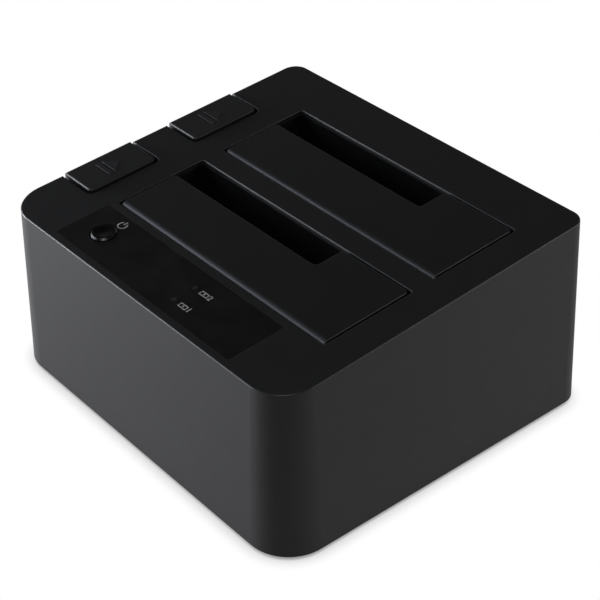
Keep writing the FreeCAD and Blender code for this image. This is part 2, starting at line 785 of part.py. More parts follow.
def drive_well(bay):
    """Deep pocket that guides a drive down to its socket, with the bracket of the eject lever."""
    n = bay + 1
    body = new_body(f"drive_well_{n}")
    front, back = for_bay("bay_front", bay), for_bay("bay_back", bay)
    mid = for_bay("slot_mid", bay)
    outer = Outline(body, f"well_outer_{n}", base=(0, 0, "floor_z"))
    outer.box("bay_left - well_wall", "bay_right + well_wall", f"{front} - well_wall", f"{back} + well_wall")
    outer.pad(f"{surface_z(back)} - floor_z")
    cut_to_slope(body, f"well_rim_{n}", "wall + rim_gap")
    inner = Outline(body, f"well_inner_{n}", base=(0, 0, "seat_z"))
    inner.box("bay_left", "bay_right", front, back)
    inner.pocket(up=True)

    windows = Outline(body, f"floor_windows_{n}", base=(0, 0, "seat_z"))
    half_w, half_d = "(socket_w/2 + door_gap)", "(socket_d/2 + door_gap)"
    y = for_bay("socket_y", bay)
    windows.box(f"socket_x - {half_w}", f"socket_x + {half_w}", f"{y} - {half_d}", f"{y} + {half_d}")
    bar_end = f"{back} - tip_r"
    windows.box("bay_left", "bar_x + tip_r + button_gap/2", f"{mid} - lever_w/2 - slide_gap", bar_end)
    windows.pocket("floor_t")

    legs = Outline(body, f"well_legs_{n}", base=(0, 0, "board_top"))
    for x, y in WELL_LEGS:
        legs.circle(x, for_bay(y, bay), "stud_r")
    legs.pad("floor_z - board_top")
    bores = Outline(body, f"leg_bores_{n}", base=(0, 0, "board_top"))
    for x, y in WELL_LEGS:
        bores.circle(x, for_bay(y, bay), "small_screw_r")
    bores.pocket("floor_z - board_top", up=True)

    gap = "(lever_w/2 + slide_gap)"
    ears = Outline(body, f"lever_ears_{n}", base=(0, 0, "lever_z - 1.5*hub_r"))
    tip = "lever_x - hub_r - tip_r"
    ears.box(tip, "bracket_in", f"{mid} - {gap} - well_wall", f"{mid} - {gap}")
    ears.box(tip, "bracket_in", f"{mid} + {gap}", f"{mid} + {gap} + well_wall")
    ears.pad("shelf_z - lever_z + 1.5*hub_r + shelf_t/2")
    shelf = Outline(body, f"spring_shelf_{n}", base=(0, 0, "shelf_z"))
    shelf.box("rod_x - 1.6*rod_r", "bracket_in", f"{mid} - {gap} - well_wall", f"{mid} + {gap} + well_wall")
    shelf.pad("shelf_t")
    guide = Outline(body, f"rod_guide_{n}", base=(0, 0, "shelf_z"))
    guide.circle("rod_x", mid, "rod_r + slide_gap")
    guide.pocket("shelf_t", up=True)
    axle = Outline(body, f"lever_axle_{n}", "XZ_Plane", base=(0, 0, f"-{mid}"))
    axle.circle("lever_x", "lever_z", "lever_pin_r + fit")
    axle.pocket("3*lever_w", middle=True)
    arm = Outline(body, f"arm_window_{n}", "YZ_Plane", base=(0, 0, "bay_left + well_wall"))
    arm.box(f"{mid} - {gap}", f"{mid} + {gap}", "floor_z - floor_t", "lever_z + lever_rise + 1.2*tip_r")
    arm.pocket("2*well_wall + slide_gap")

    cradle = Outline(body, f"hinge_cradle_{n}", "YZ_Plane", base=(0, 0, "bay_x"))
    cradle.circle(for_bay("hinge_y", bay), hinge_z(bay), "pin_r + fit")
    cradle.pocket("pin_len + well_wall", middle=True)
    relief = Outline(body, f"tab_relief_{n}", "XZ_Plane", base=(0, 0, f"-({back} - slide_gap)"))
    low = f"{hinge_z(bay)} - 0.42*door_reach"
    relief.box("tab_x - 0.6*tab_w", "tab_x + 0.6*tab_w", low, f"{surface_z(back)}")
    relief.pocket("well_wall + 2*slide_gap")
    return body


def bay_door(bay):
    """L-shaped flap: a ribbed plate on a round hinge edge, cut away for the slim drive's slot."""
    n = bay + 1
    body = new_body(f"bay_door_{n}")
    place(body, 0, for_bay("hinge_y", bay), hinge_z(bay), angle="slope")
    under = "barrel_r - door_plate"

    def ell(inset, front):
        left, right = f"door_left + {inset}", f"door_right - {inset}"
        inner, back, notch = f"notch_right + {inset}", f"door_reach - {inset}", f"notch_reach - {inset}"
        return [(left, front), (right, front), (right, back), (inner, back), (inner, notch), (left, notch)]

    plate = Outline(body, f"door_plate_{n}", base=(0, 0, under))
    plate.polygon(ell("0", "0"))
    plate.pad("door_plate")
    rim = Outline(body, f"door_rim_{n}", base=(0, 0, under))
    rim.polygon(ell("0", "0"))
    rim.polygon(ell("rib_t", "barrel_r"))
    rimmed = rim.pad("rib_depth", down=True)

    corners = {("door_right", "door_reach"), ("notch_right", "door_reach"), ("door_left", "notch_reach")}
    corners = [(value(x), value(y)) for x, y in sorted(corners) + [("notch_right", "notch_reach")]]

    def is_corner(edge):
        at = edge.CenterOfMass
        return runs_along(edge, (0, 0, 1)) and any(math.dist((at.x, at.y), c) < 0.01 for c in corners)

    # the body's features keep the body's own frame
    dress("Fillet", body, rimmed, edges_of(rimmed, is_corner), "1.5*mouth_r")

    barrel = Outline(body, f"door_barrel_{n}", "YZ_Plane", base=(0, 0, "bay_x"))
    barrel.circle(0, 0, "barrel_r")
    barrel.pad("door_len", middle=True)
    ribs = Outline(body, f"door_ribs_{n}", base=(0, 0, under))
    for i in range(1, 6):
        x = f"(door_left + {i}*door_len/6)"
        far = "door_reach" if value(x) > value("notch_right") else "notch_reach"
        ribs.box(f"{x} - rib_t/2", f"{x} + rib_t/2", "barrel_r/2", f"{far} - rib_t/2")
    ribs.pad("0.7*rib_depth", down=True)
    tab = Outline(body, f"door_tab_{n}", base=(0, 0, "barrel_r - wall - slide_gap"))
    tab.box("tab_x - tab_w/2", "tab_x + tab_w/2", "door_reach - rib_t/2", "door_reach + tab_reach")
    tabbed = tab.pad("rib_t", down=True)

    top = value("barrel_r")

    def is_rim(edge):
        box = edge.BoundBox
        return box.ZMin > top - 0.01 and box.YMax > 0.1 and box.YLength + box.XLength < value("bay_len")

    DOC.recompute()
    dress("Fillet", body, tabbed, edges_of(tabbed, is_rim), "0.8*edge_r")
    bore = Outline(body, f"door_bore_{n}", "YZ_Plane", base=(0, 0, "bay_x"))
    bore.circle(0, 0, "pin_r + fit")
    bore.pocket("bay_len", middle=True)
    return body


def hinge_pin(bay):
    pin = solid("Cylinder", f"hinge_pin_{bay + 1}", Radius="pin_r", Height="pin_len")
    return place(pin, "bay_left - well_wall", for_bay("hinge_y", bay), hinge_z(bay), (0, 1, 0), "90")


# ---------------------------------------------------------------- eject mechanism


def eject_button(bay):
    """Key cap that wraps the housing's left edge, with its guided skirt and push rod."""
    n = bay + 1
    body = new_body(f"eject_button_{n}")
    front, back = for_bay("slot_front", bay), for_bay("slot_back", bay)
    mid = for_bay("slot_mid", bay)
    rib_z = f"({surface_z(front)} - skirt_drop)"
    bar_z = f"({rib_z} - slide_gap - skirt_t)"
    top_z = f"{surface_z(back)} + button_proud"

    rod = Outline(body, f"push_rod_{n}", base=(0, 0, "rod_end"))
    rod.circle("rod_x", mid, "rod_r")
    rodded = rod.pad(f"{top_z} - rod_end")

    def is_rod_end(edge):
        return isinstance(edge.Curve, Part.Circle) and edge.CenterOfMass.z < value("rod_end") + 0.01

    dress("Chamfer", body, rodded, edges_of(rodded, is_rod_end), "0.6*rod_r")
    skirt = Outline(body, f"skirt_{n}", base=(0, 0, bar_z))
    outer, inner = "rod_x - 0.8*rod_r", "rod_x - 0.8*rod_r + skirt_t"
    skirt.box(outer, inner, f"{front} + slide_gap", f"{back} - slide_gap")
    skirt.pad(f"{top_z} - {bar_z}")
    cut_to_slope(body, f"skirt_top_{n}", "wall/2")
    bar = Outline(body, f"stop_bar_{n}", base=(0, 0, bar_z))
    bar.box(outer, "rod_x + 0.5*rod_r", f"{front} - guide_t + slide_gap", f"{back} + guide_t - slide_gap")
    bar.pad("skirt_t")

    cap_x = "slot_inner - button_gap"
    y0, y1 = f"({front} + button_gap)", f"({back} - button_gap)"
    cap = Outline(body, f"cap_{n}", "YZ_Plane", base=(0, 0, cap_x))
    low, high = "- wall/cos(slope)", "+ button_proud/cos(slope)"
    ends = [(y0, low), (y1, low), (y1, high), (y0, high)]
    cap.polygon([(y, f"{surface_z(y)} {w}") for y, w in ends])
    capped = cap.pad(f"base_w/2 + {cap_x}", down=True)
    inner_x = value(cap_x)

    def is_inner_corner(edge):
        return runs_along(edge, (0, 0, 1)) and abs(edge.CenterOfMass.x - inner_x) < 0.01

    dress("Fillet", body, capped, edges_of(capped, is_inner_corner), "0.8*slot_r")
    side = Outline(body, f"cap_side_{n}", "XZ_Plane")
    low_z, high_z = "0.8*front_h", "1.4*front_h"
    side.polygon(
        [
            ("-base_w", low_z),
            (f"-base_w/2 + {side_inset(low_z)}", low_z),
            (f"-base_w/2 + {side_inset(high_z)}", high_z),
            ("-base_w", high_z),
        ]
    )
    trimmed = side.pocket(middle=True)
    slope = math.radians(value("slope"))
    normal = VECTOR(0, -math.sin(slope), math.cos(slope))
    tops = [
        (face.Area, f"Face{i}")
        for i, face in enumerate(trimmed.Shape.Faces, 1)
        if face.normalAt(0, 0).dot(normal) > 0.9999
    ]
    dress("Fillet", body, trimmed, [max(tops)[1]], "edge_r")
    return body


def eject_lever(bay):
    """Rocker under the well: the rod pushes one arm down and the other lifts the drive on its bar."""
    n = bay + 1
    body = new_body(f"eject_lever_{n}")
    place(body, "lever_x", for_bay("slot_mid", bay), "lever_z", (0, 1, 0), "lever_swing")
    half, thick = "0.8*tip_r", "0.7*hub_r"
    arms = Outline(body, f"lever_arms_{n}", "XZ_Plane")
    arms.polygon(
        [
            ("-lever_arm", f"-{half}"),
            (0, f"-{thick}"),
            ("lever_arm", f"-{half}"),
            ("lever_arm", half),
            (0, thick),
            ("-lever_arm", half),
        ]
    )
    arms.pad("lever_w", middle=True)
    hub = Outline(body, f"lever_hub_{n}", "XZ_Plane")
    hub.circle(0, 0, "hub_r")
    hub.pad("lever_w", middle=True)
    tip = Outline(body, f"lever_tip_{n}", "XZ_Plane")
    tip.circle("-lever_arm", 0, "tip_r")
    tip.pad("lever_w", middle=True)
    bar = Outline(body, f"lift_bar_{n}", "XZ_Plane", base=(0, 0, "lever_w/2"))
    bar.circle("lever_arm", 0, "tip_r")
    bar.pad("lever_w/2 + bay_back - slot_mid - tip_r - button_gap", down=True)
    bore = Outline(body, f"lever_bore_{n}", "XZ_Plane")
    bore.circle(0, 0, "lever_pin_r + fit")
    bore.pocket("2*lever_w", middle=True)
    return body


def lever_pin(bay):
    length = "(lever_w + 2*slide_gap + 2*well_wall)"
    pin = solid("Cylinder", f"lever_pin_{bay + 1}", Radius="lever_pin_r", Height=length)
    return place(pin, "lever_x", f"{for_bay('slot_mid', bay)} + {length}/2", "lever_z", (1, 0, 0), "90")


def eject_spring(bay):
    """Coil round the push rod, between the shelf and the button's stop bar."""
    low = value("shelf_z + shelf_t")
    high = value(f"{surface_z(for_bay('slot_front', bay))} - skirt_drop - slide_gap - skirt_t")
    wire, turns = value("wire_r"), value("spring_turns")
    mean = value("rod_r + slide_gap + 1.5*wire_r")
    centre = VECTOR(value("rod_x"), value(for_bay("slot_mid", bay)), low + wire)
    rise = high - low - 2 * wire
    steps, sides = round(10 * turns), 6
    rings = []
    for step in range(steps + 1):
        turn = 2 * math.pi * turns * step / steps
        out = VECTOR(math.cos(turn), math.sin(turn), 0)
        up = VECTOR(0, 0, 1)
        at = centre + out * mean + up * (rise * step / steps)
        spokes = [2 * math.pi * (side + 0.5) / sides for side in range(sides)]
        ring = [at + out * (wire * math.cos(s)) + up * (wire * math.sin(s)) for s in spokes]
        rings.append(Part.makePolygon(ring + ring[:1]))
    spring = DOC.addObject("Part::Feature", f"eject_spring_{bay + 1}")
    spring.Shape = Part.makeLoft(rings, True, True)
    return spring


# ---------------------------------------------------------------- status panel and power button


def status_panel():
    """Glossy inlay over the front strip, with the button hole and two light windows."""
    body = new_body("status_panel")
    place(body, 0, "top_y", "top_z", angle="slope")
    plate = Outline(body, "panel_plate", base=(0, 0, "-panel_recess"))
    x = "(panel_w/2 - panel_gap)"
    y0, y1 = f"{along('panel_front')} + panel_gap", f"{along('panel_front + panel_d')} - panel_gap"
    plate.rounded(f"-{x}", x, y0, y1, ["mouth_r - panel_gap"] * 4)
    plate.pad("panel_recess - fit")
    holes = Outline(body, "panel_bores", base=(0, 0, "-panel_recess"))
    holes.circle("power_x", along("power_y"), "power_r + power_gap")
    for led in (0, 1):
        holes.circle("led_x", along(f"led_y + {led}*led_pitch"), "pipe_r + 2*fit")
    holes.pocket("panel_recess", up=True)
    return body


def power_button():
    """Round key with a dished face, a retaining flange and a stem over the switch."""
    body = new_body("power_button")
    place_on_top(body, "power_x", "power_y", "0")
    half = Outline(body, "button_profile", "XZ_Plane")
    flange, stem, foot = "(power_r + 2.5*power_gap)", "0.3*power_r", "switch_top + slide_gap/3 + power_travel"
    under = "-(wall + slide_gap)"
    half.polygon(
        [
            (0, f"-button_board_w + {foot}"),
            (stem, f"-button_board_w + {foot}"),
            (stem, f"{under} - rib_t"),
            (flange, f"{under} - rib_t"),
            (flange, under),
            ("power_r", under),
            ("power_r", "0"),
            ("power_r - edge_r", "edge_r"),
            ("0.7*power_r", "edge_r"),
            (0, "0.4*edge_r"),
        ]
    )
    half.revolve()
    return body


def power_switch():
    """Tact switch on the button board."""
    case = solid("Box", "switch_case", Length="switch_w", Width="switch_w", Height="0.8*switch_top")
    x, y = "power_x - switch_w/2", "power_y - switch_w/2*cos(slope)"
    place_on_top(case, x, y, "-button_board_w")
    plunger = solid("Cylinder", "switch_plunger", Radius="0.35*power_r", Height="switch_top")
    place_on_top(plunger, "power_x", "power_y", "-button_board_w")
    return together("MultiFuse", "power_switch", [case, plunger])


def status_leds():
    lamps = []
    for led in (0, 1):
        lamp = solid("Box", f"lamp_{led + 1}", Length="4*pipe_r", Width="2*pipe_r", Height="head_t")
        y = f"led_y + {led}*led_pitch - pipe_r*cos(slope)"
        place_on_top(lamp, "led_x - 2*pipe_r", y, "-button_board_w")
        lamps.append(lamp)
    return together("Compound", "status_leds", lamps)


def light_pipes():
    """Clear rods that carry each lamp's light up to the panel, on a collar under the shell."""
    pipes = []
    for led in (0, 1):
        y = f"led_y + {led}*led_pitch"
        low = "(head_t + slide_gap - button_board_w)"
        rod = solid("Cylinder", f"pipe_rod_{led + 1}", Radius="pipe_r", Height=f"-{low}")
        collar = solid("Cylinder", f"pipe_collar_{led + 1}", Radius="1.6*pipe_r", Height=f"-{low} - wall")
        place_on_top(rod, "led_x", y, low)
        place_on_top(collar, "led_x", y, low)
        pipes.append(together("MultiFuse", f"pipe_{led + 1}", [rod, collar]))
    return together("Compound", "light_pipes", pipes)


def button_board():
    """Small board behind the status panel, on two posts of the housing."""
    body = new_body("button_board")
    place(body, 0, "top_y", "top_z", angle="slope")
    left, right = f"{BOARD_POSTS[0]} - 1.2*stud_r", f"{BOARD_POSTS[1]} + 1.2*stud_r"
    y0, y1 = along("led_y - 2*stud_r/2"), along("led_y + led_pitch + stud_r")
    board = Outline(body, "button_board_outline", base=(0, 0, "-button_board_w"))
    board.rounded(left, right, y0, y1, ["mouth_r"] * 4)
    board.pad("button_board_t", down=True)
    holes = Outline(body, "button_board_holes", base=(0, 0, "-button_board_w"))
    for x in BOARD_POSTS:
        holes.circle(x, along("power_y"), "small_screw_r + fit")
    holes.pocket("button_board_t")
    return body


def build():
    """Every sub-part of the assembly, each under its own name."""
    parts = [top_housing(), bottom_cover(), rubber_feet(), main_board(), board_chips(), board_capacitors()]
    legs = [(x, for_bay(y, bay)) for bay in (0, 1) for x, y in WELL_LEGS]
    posts = [(x, "power_y") for x in BOARD_POSTS]
    under = "-(button_board_w + button_board_t)"
    parts.append(screws("cover_screws", HOUSING_SCREWS, "foot_drop + cover_t/2", "8*screw_r", big=True))
    parts.append(screws("board_screws", BOARD_SCREWS, "board_top", "board_t + 2*head_t", up=False))
    parts.append(screws("well_screws", legs, "board_z", "board_t + 2*head_t"))
    parts.append(screws("panel_screws", posts, under, "button_board_t + 2*head_t", tilted=True))
    parts += [usb_port(), usb_insulator(), power_inlet(), inlet_pin(), status_panel(), power_button()]
    parts += [power_switch(), button_board(), status_leds(), light_pipes()]
    for bay in (0, 1):
        parts += [sata_socket(bay), drive_well(bay), bay_door(bay), hinge_pin(bay)]
        parts += [eject_button(bay), eject_lever(bay), lever_pin(bay), eject_spring(bay)]
    DOC.recompute()
    return parts


def write(parts):
    """Refuse any failed or empty object, then write one STEP file for each sub-part."""
    for thing in DOC.Objects:
        if {"Invalid", "Error"} & set(thing.State):
            raise RuntimeError(f"{thing.Name} is {thing.State}")
    os.makedirs("parts", exist_ok=True)
    for part in parts:
        if part.Shape.isNull() or not part.Shape.isValid():
            raise RuntimeError(f"{part.Label} has no valid shape")
        part.Shape.exportStep(f"parts/{part.Label}.step")
        print(f"{part.Label}: {len(part.Shape.Solids)} solid(s), {part.Shape.Volume:.0f} mm3")


write(build())
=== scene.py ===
# %% [markdown]
# # A two-bay drive dock in matt black plastic
#
# The dock is a moulded box with a sloped lid. Two L-shaped flaps cover the drive bays, two keys on
# the left edge push a drive back out, and a glossy strip at the front holds the power key and two
# lights. The engineering model already has every solid in its true place, so this script keeps those
# solids as they are. It gives each one a finish, and adds the fine things that a solid model leaves
# out, such as contacts, printed marks and screw recesses.

import json
import math

import bmesh
import bpy
from mathutils import Matrix, Vector


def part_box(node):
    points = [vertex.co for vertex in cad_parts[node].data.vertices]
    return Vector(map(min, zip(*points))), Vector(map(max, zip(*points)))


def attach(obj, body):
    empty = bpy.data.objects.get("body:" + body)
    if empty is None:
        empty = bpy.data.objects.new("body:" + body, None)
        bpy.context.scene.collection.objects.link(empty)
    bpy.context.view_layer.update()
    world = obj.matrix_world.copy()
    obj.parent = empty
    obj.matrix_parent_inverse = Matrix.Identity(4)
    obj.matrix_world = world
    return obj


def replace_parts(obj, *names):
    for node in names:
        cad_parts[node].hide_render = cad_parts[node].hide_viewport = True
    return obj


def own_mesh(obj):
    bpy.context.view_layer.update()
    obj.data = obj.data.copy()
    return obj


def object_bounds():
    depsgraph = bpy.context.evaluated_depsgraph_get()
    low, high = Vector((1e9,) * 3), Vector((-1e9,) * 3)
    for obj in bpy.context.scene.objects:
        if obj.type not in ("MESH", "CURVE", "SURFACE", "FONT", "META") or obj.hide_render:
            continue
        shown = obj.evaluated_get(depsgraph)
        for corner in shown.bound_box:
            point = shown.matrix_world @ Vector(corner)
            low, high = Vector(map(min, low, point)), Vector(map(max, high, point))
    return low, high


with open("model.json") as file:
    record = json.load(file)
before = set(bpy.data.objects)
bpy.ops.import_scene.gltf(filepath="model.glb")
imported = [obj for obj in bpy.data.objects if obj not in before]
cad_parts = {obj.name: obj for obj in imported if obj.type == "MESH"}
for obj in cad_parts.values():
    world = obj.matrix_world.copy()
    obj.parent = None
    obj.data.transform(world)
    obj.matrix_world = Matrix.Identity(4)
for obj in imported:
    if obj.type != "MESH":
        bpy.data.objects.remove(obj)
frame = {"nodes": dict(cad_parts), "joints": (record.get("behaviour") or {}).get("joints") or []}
nodes = frame["nodes"]
cad_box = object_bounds()

# %% [markdown]
# Millimetres are easier to think in than metres for a desk-top product. `mm` turns one into the
# other. Places are read from the boxes of the solids, so a piece follows if a solid moves. The two
# flaps' hinges lie at the same depth below the lid, so the line through them has the lid's slope.

# %% Sizes and the slope of the lid
MM = 0.001


def mm(*values):
    """A length, or a point, given in millimetres."""
    return values[0] * MM if len(values) == 1 else Vector(values) * MM


def middle(node):
    """The middle of a solid's box."""
    low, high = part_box(node)
    return (low + high) / 2


def find_slope():
    """The tilt of the lid, read from the places of the two flaps' hinges."""
    hinges = [j for j in frame["joints"] if j["name"].startswith("door")]
    front, back = (Vector(j["pos_m"]) for j in sorted(hinges, key=lambda j: j["pos_m"][1]))
    return math.atan2(back.z - front.z, back.y - front.y)


SLOPE = find_slope()
print(f"lid slope {math.degrees(SLOPE):.2f} degrees")

# %% [markdown]
# ## Shader maths that reads like maths
#
# A finish is a network of nodes. Wiring every Math node by hand hides what the network means, so a
# small class wraps a socket and lets it stand in an expression: `1 - mask * 0.4` adds the two Math
# nodes it needs.


# %% A socket that can be used in arithmetic
class Signal:
    """One output socket of a finish; arithmetic on it adds Math nodes to the same finish."""

    def __init__(self, finish, socket):
        self.finish, self.socket = finish, socket

    def joined(self, operation, first, second):
        return self.finish.node("ShaderNodeMath", {"operation": operation}, {0: first, 1: second})

    def __add__(self, other):
        return self.joined("ADD", self, other)

    def __sub__(self, other):
        return self.joined("SUBTRACT", self, other)

    def __rsub__(self, other):
        return self.joined("SUBTRACT", other, self)

    def __mul__(self, other):
        return self.joined("MULTIPLY", self, other)

    __radd__, __rmul__ = __add__, __mul__


print("a signal can be added, subtracted and multiplied")

# %% [markdown]
# Every other node comes from one method, `node`, which takes the node's type, its settings, and the
# values or links of its sockets. The short methods after it give the networks that most finishes
# share a plain name: a noise, a ramp, a mix of two colours, a bump.

# %% A finish: one material and the nodes that make it
EVEN = (1, 1, 1)
# A Mix node has a set of sockets for each kind of value; these are the ones for colours.
MIX_FACTOR, MIX_FIRST, MIX_SECOND, MIX_RESULT = 0, 6, 7, 2


class Finish:
    """A material around one Principled shader. Fixed numbers go straight onto its sockets."""

    def __init__(self, name, **fixed):
        self.material = bpy.data.materials.new(name)
        self.material.use_nodes = True
        self.tree = self.material.node_tree
        self.tree.nodes.clear()
        self.shader = self.tree.nodes.new("ShaderNodeBsdfPrincipled")
        self.surface = self.tree.nodes.new("ShaderNodeOutputMaterial").inputs["Surface"]
        self.tree.links.new(self.shader.outputs["BSDF"], self.surface)
        for words, amount in fixed.items():
            self.feed(self.shader.inputs[words.replace("_", " ")], amount)

    def feed(self, socket, amount):
        """Link a signal to a socket, or set a fixed number or colour on it."""
        if isinstance(amount, Signal):
            self.tree.links.new(amount.socket, socket)
        elif socket.type == "RGBA" and len(amount) == 3:
            socket.default_value = (*amount, 1)
        else:
            socket.default_value = amount

    def node(self, kind, settings=None, sockets=None, output=0):
        """Add one node: its settings first, then the values or links of its sockets."""
        made = self.tree.nodes.new(kind)
        for name, setting in (settings or {}).items():
            if name == "stops":
                ramp = made.color_ramp
                for place, grey in setting[2:]:
                    ramp.elements.new(place).color = (grey, grey, grey, 1)
                for element, (place, grey) in zip(ramp.elements, setting):
                    element.position, element.color = place, (grey, grey, grey, 1)
            else:
                setattr(made, name, setting)
        for name, amount in (sockets or {}).items():
            self.feed(made.inputs[name], amount)
        return Signal(self, made.outputs[output])

    def spot(self, stretch=EVEN):
        """Where the shaded point is on the piece, in metres, with each direction stretched."""
        here = self.node("ShaderNodeTexCoord", output="Object")
        if stretch == EVEN:
            return here
        return self.node("ShaderNodeMapping", None, {"Vector": here, "Scale": stretch})

    def upward(self):
        """How far the surface faces up in the piece's own frame: 1 on a flat top, 0 on a wall."""
        facing = self.node("ShaderNodeTexCoord", output="Normal")
        return self.node("ShaderNodeSeparateXYZ", None, {"Vector": facing}, output="Z")

    def noise(self, size, detail=2.0, stretch=EVEN):
        """Cloudy noise whose blobs are about size across, in metres."""
        sockets = {"Vector": self.spot(stretch), "Scale": 1 / size, "Detail": detail}
        return self.node("ShaderNodeTexNoise", None, sockets)

    def mix(self, factor, first, second):
        """First colour where the factor is 0, second where it is 1."""
        sockets = {MIX_FACTOR: factor, MIX_FIRST: first, MIX_SECOND: second}
        return self.node("ShaderNodeMix", {"data_type": "RGBA"}, sockets, output=MIX_RESULT)

    def steps(self, signal, *stops):
        """A ramp from grey to grey; each stop is a place on the ramp and a shade."""
        return self.node("ShaderNodeValToRGB", {"stops": stops}, {"Fac": signal})

    def colour(self, amount):
        self.feed(self.shader.inputs["Base Color"], amount)

    def roughness(self, amount):
        self.feed(self.shader.inputs["Roughness"], amount)

    def bump(self, height, depth):
        """Bumps from a height between 0 and 1; depth is their full height, in metres."""
        bumps = self.node("ShaderNodeBump", None, {"Height": height, "Distance": depth})
        self.feed(self.shader.inputs["Normal"], bumps)


def listed(*materials):
    """The names of some materials, in one line."""
    return ", ".join(material.name for material in materials)


print("a finish starts from a Principled shader of Blender", bpy.app.version_string)

# %% [markdown]
# ## Plastics
#
# Nearly everything that shows is injection-moulded plastic. The steel mould is spark-eroded, which
# leaves a fine, even grain about a fifth of a millimetre across, so light spreads and the black looks
# like slate. Colour alone would look like paint, so each plastic gets three layers: a slow
# mottle in colour, a change in roughness where hands rub it, and the grain as a bump of about a
# hundredth of a millimetre. The rounded rims of the mouths and keys come out smoother than the flat
# faces, so a ramp on how far the surface faces up takes some roughness off them.

# %% Moulded plastic
MOTTLE_SIZE, RUB_SIZE = mm(18), mm(5)
RUB = 0.12
RIM_STOPS = (0.1, 0), (0.3, 1), (0.88, 1), (0.97, 0)


def shade(colour, factor):
    """The colour made darker or lighter by a factor."""
    return tuple(min(1.0, part * factor) for part in colour)


def moulded(
    name, colour, roughness, grain=mm(0.22), depth=mm(0.012), specular=0.15, mottle=0.12, polish=0.0
):
    """Grained plastic: its colour and its roughness drift slowly, and the grain is bumped.

    polish is how much smoother its rounded rims are, the parts that face neither up nor sideways.
    """
    made = Finish(name, Specular_IOR_Level=specular)
    cloud = made.noise(MOTTLE_SIZE, detail=3.0)
    rubbed = made.noise(RUB_SIZE, detail=4.0)
    made.colour(made.mix(cloud, shade(colour, 1 - mottle), shade(colour, 1 + mottle)))
    rough = roughness - RUB / 2 + rubbed * RUB
    if polish:
        rough = rough - made.steps(made.upward(), *RIM_STOPS) * polish
    made.roughness(rough)
    made.bump(made.noise(grain, detail=3.0), depth)
    return made.material


BLACK = (0.014, 0.014, 0.0146)
housing = moulded("housing_grain", BLACK, roughness=0.57, polish=0.15)
cover = moulded("cover_grain", shade(BLACK, 0.9), roughness=0.66, grain=mm(0.3), depth=mm(0.02))
print("shells:", listed(housing, cover))

# %% [markdown]
# The other mouldings come from moulds of their own, so each differs a little. The flaps and keys are
# satin, with a finer and shallower grain. The drive wells are plain and dark. The levers and the
# port's insulator are pale plastic with hardly any mottle.

# %% The other mouldings
SATIN = {"grain": mm(0.18), "depth": mm(0.008)}
PALE = {"depth": mm(0.004), "specular": 0.5, "mottle": 0.04}
well = moulded("well_plain", (0.008, 0.008, 0.0085), roughness=0.5, depth=mm(0.006), specular=0.1)
door = moulded("flap_satin", (0.0075, 0.0075, 0.008), roughness=0.46, specular=0.22, **SATIN)
key = moulded("key_satin", (0.021, 0.021, 0.022), roughness=0.55, polish=0.05, **SATIN)
socket_black = moulded("socket_black", (0.012, 0.012, 0.012), roughness=0.42, depth=mm(0.004))
package = moulded("chip_package", (0.018, 0.018, 0.019), roughness=0.55, grain=mm(0.12))
acetal = moulded("lever_acetal", (0.62, 0.61, 0.57), roughness=0.4, **PALE)
white_insulator = moulded("port_white", (0.62, 0.62, 0.60), roughness=0.4, **PALE)
print("mouldings:", listed(well, door, key, socket_black, package, acetal, white_insulator))

# %% [markdown]
# The status strip is a smooth inlay, so it mirrors softly. What makes a gloss look real is that it
# is never even: faint smears from fingers change the roughness by a few hundredths. They come from
# two noises multiplied, one of round patches and one drawn out into strokes.


# %% Gloss inlay and power key
def gloss(name, colour, roughness, smear, specular=0.25):
    """Smooth plastic that is a little rougher where fingers smeared it."""
    made = Finish(name, Specular_IOR_Level=specular)
    patches = made.noise(size=mm(9), detail=4.0)
    strokes = made.noise(size=mm(1.2), detail=3.0, stretch=(0.25, 1, 1))
    made.colour(made.mix(patches, shade(colour, 0.85), shade(colour, 1.15)))
    made.roughness(roughness + patches * strokes * smear)
    made.bump(made.noise(size=mm(6), detail=1.0), depth=mm(0.004))
    return made.material


inlay = gloss("inlay_gloss", (0.0062, 0.006, 0.0055), roughness=0.28, smear=0.3)
power_key = gloss("power_key_gloss", (0.005, 0.005, 0.0045), roughness=0.24, smear=0.2, specular=0.14)
print("glosses:", listed(inlay, power_key))

# %% [markdown]
# The feet are soft rubber, which mirrors almost nothing and gathers dust. One noise serves twice: a
# ramp turns it into patches of dust for the colour, and as it is it makes those patches duller.


# %% Rubber feet
def rubber(name, clean, dusty):
    """Dull rubber with dust settled on it in patches."""
    made = Finish(name, Specular_IOR_Level=0.25)
    dust = made.noise(size=mm(1.5), detail=5.0)
    made.colour(made.mix(made.steps(dust, (0.45, 0), (0.75, 1)), clean, dusty))
    made.roughness(0.75 + dust * 0.15)
    made.bump(made.noise(size=mm(0.5)), depth=mm(0.03))
    return made.material


feet = rubber("foot_rubber", clean=(0.022, 0.022, 0.022), dusty=(0.036, 0.035, 0.033))
print("rubber:", listed(feet))

# %% [markdown]
# Metal differs from plastic in that its colour is in the reflection. Screws are zinc-plated, the
# hinges' pins are drawn steel with streaks along their length, and the contacts are gold-flashed,
# which is what makes them glint at the bottom of a bay.

# %% Metals
ALONG_X, ALONG_Y = (0.05, 1, 1), (1, 0.1, 1)


def metal(name, colour, roughness, streak=EVEN):
    """Bare metal with fine lines, drawn out along one direction, and a slow tarnish."""
    made = Finish(name, Metallic=1.0)
    lines = made.noise(size=mm(0.35), detail=3.0, stretch=streak)
    tarnish = made.noise(size=mm(3), detail=4.0)
    made.colour(made.mix(tarnish, shade(colour, 0.75), colour))
    made.roughness(roughness + lines * 0.2)
    made.bump(lines, depth=mm(0.004))
    return made.material


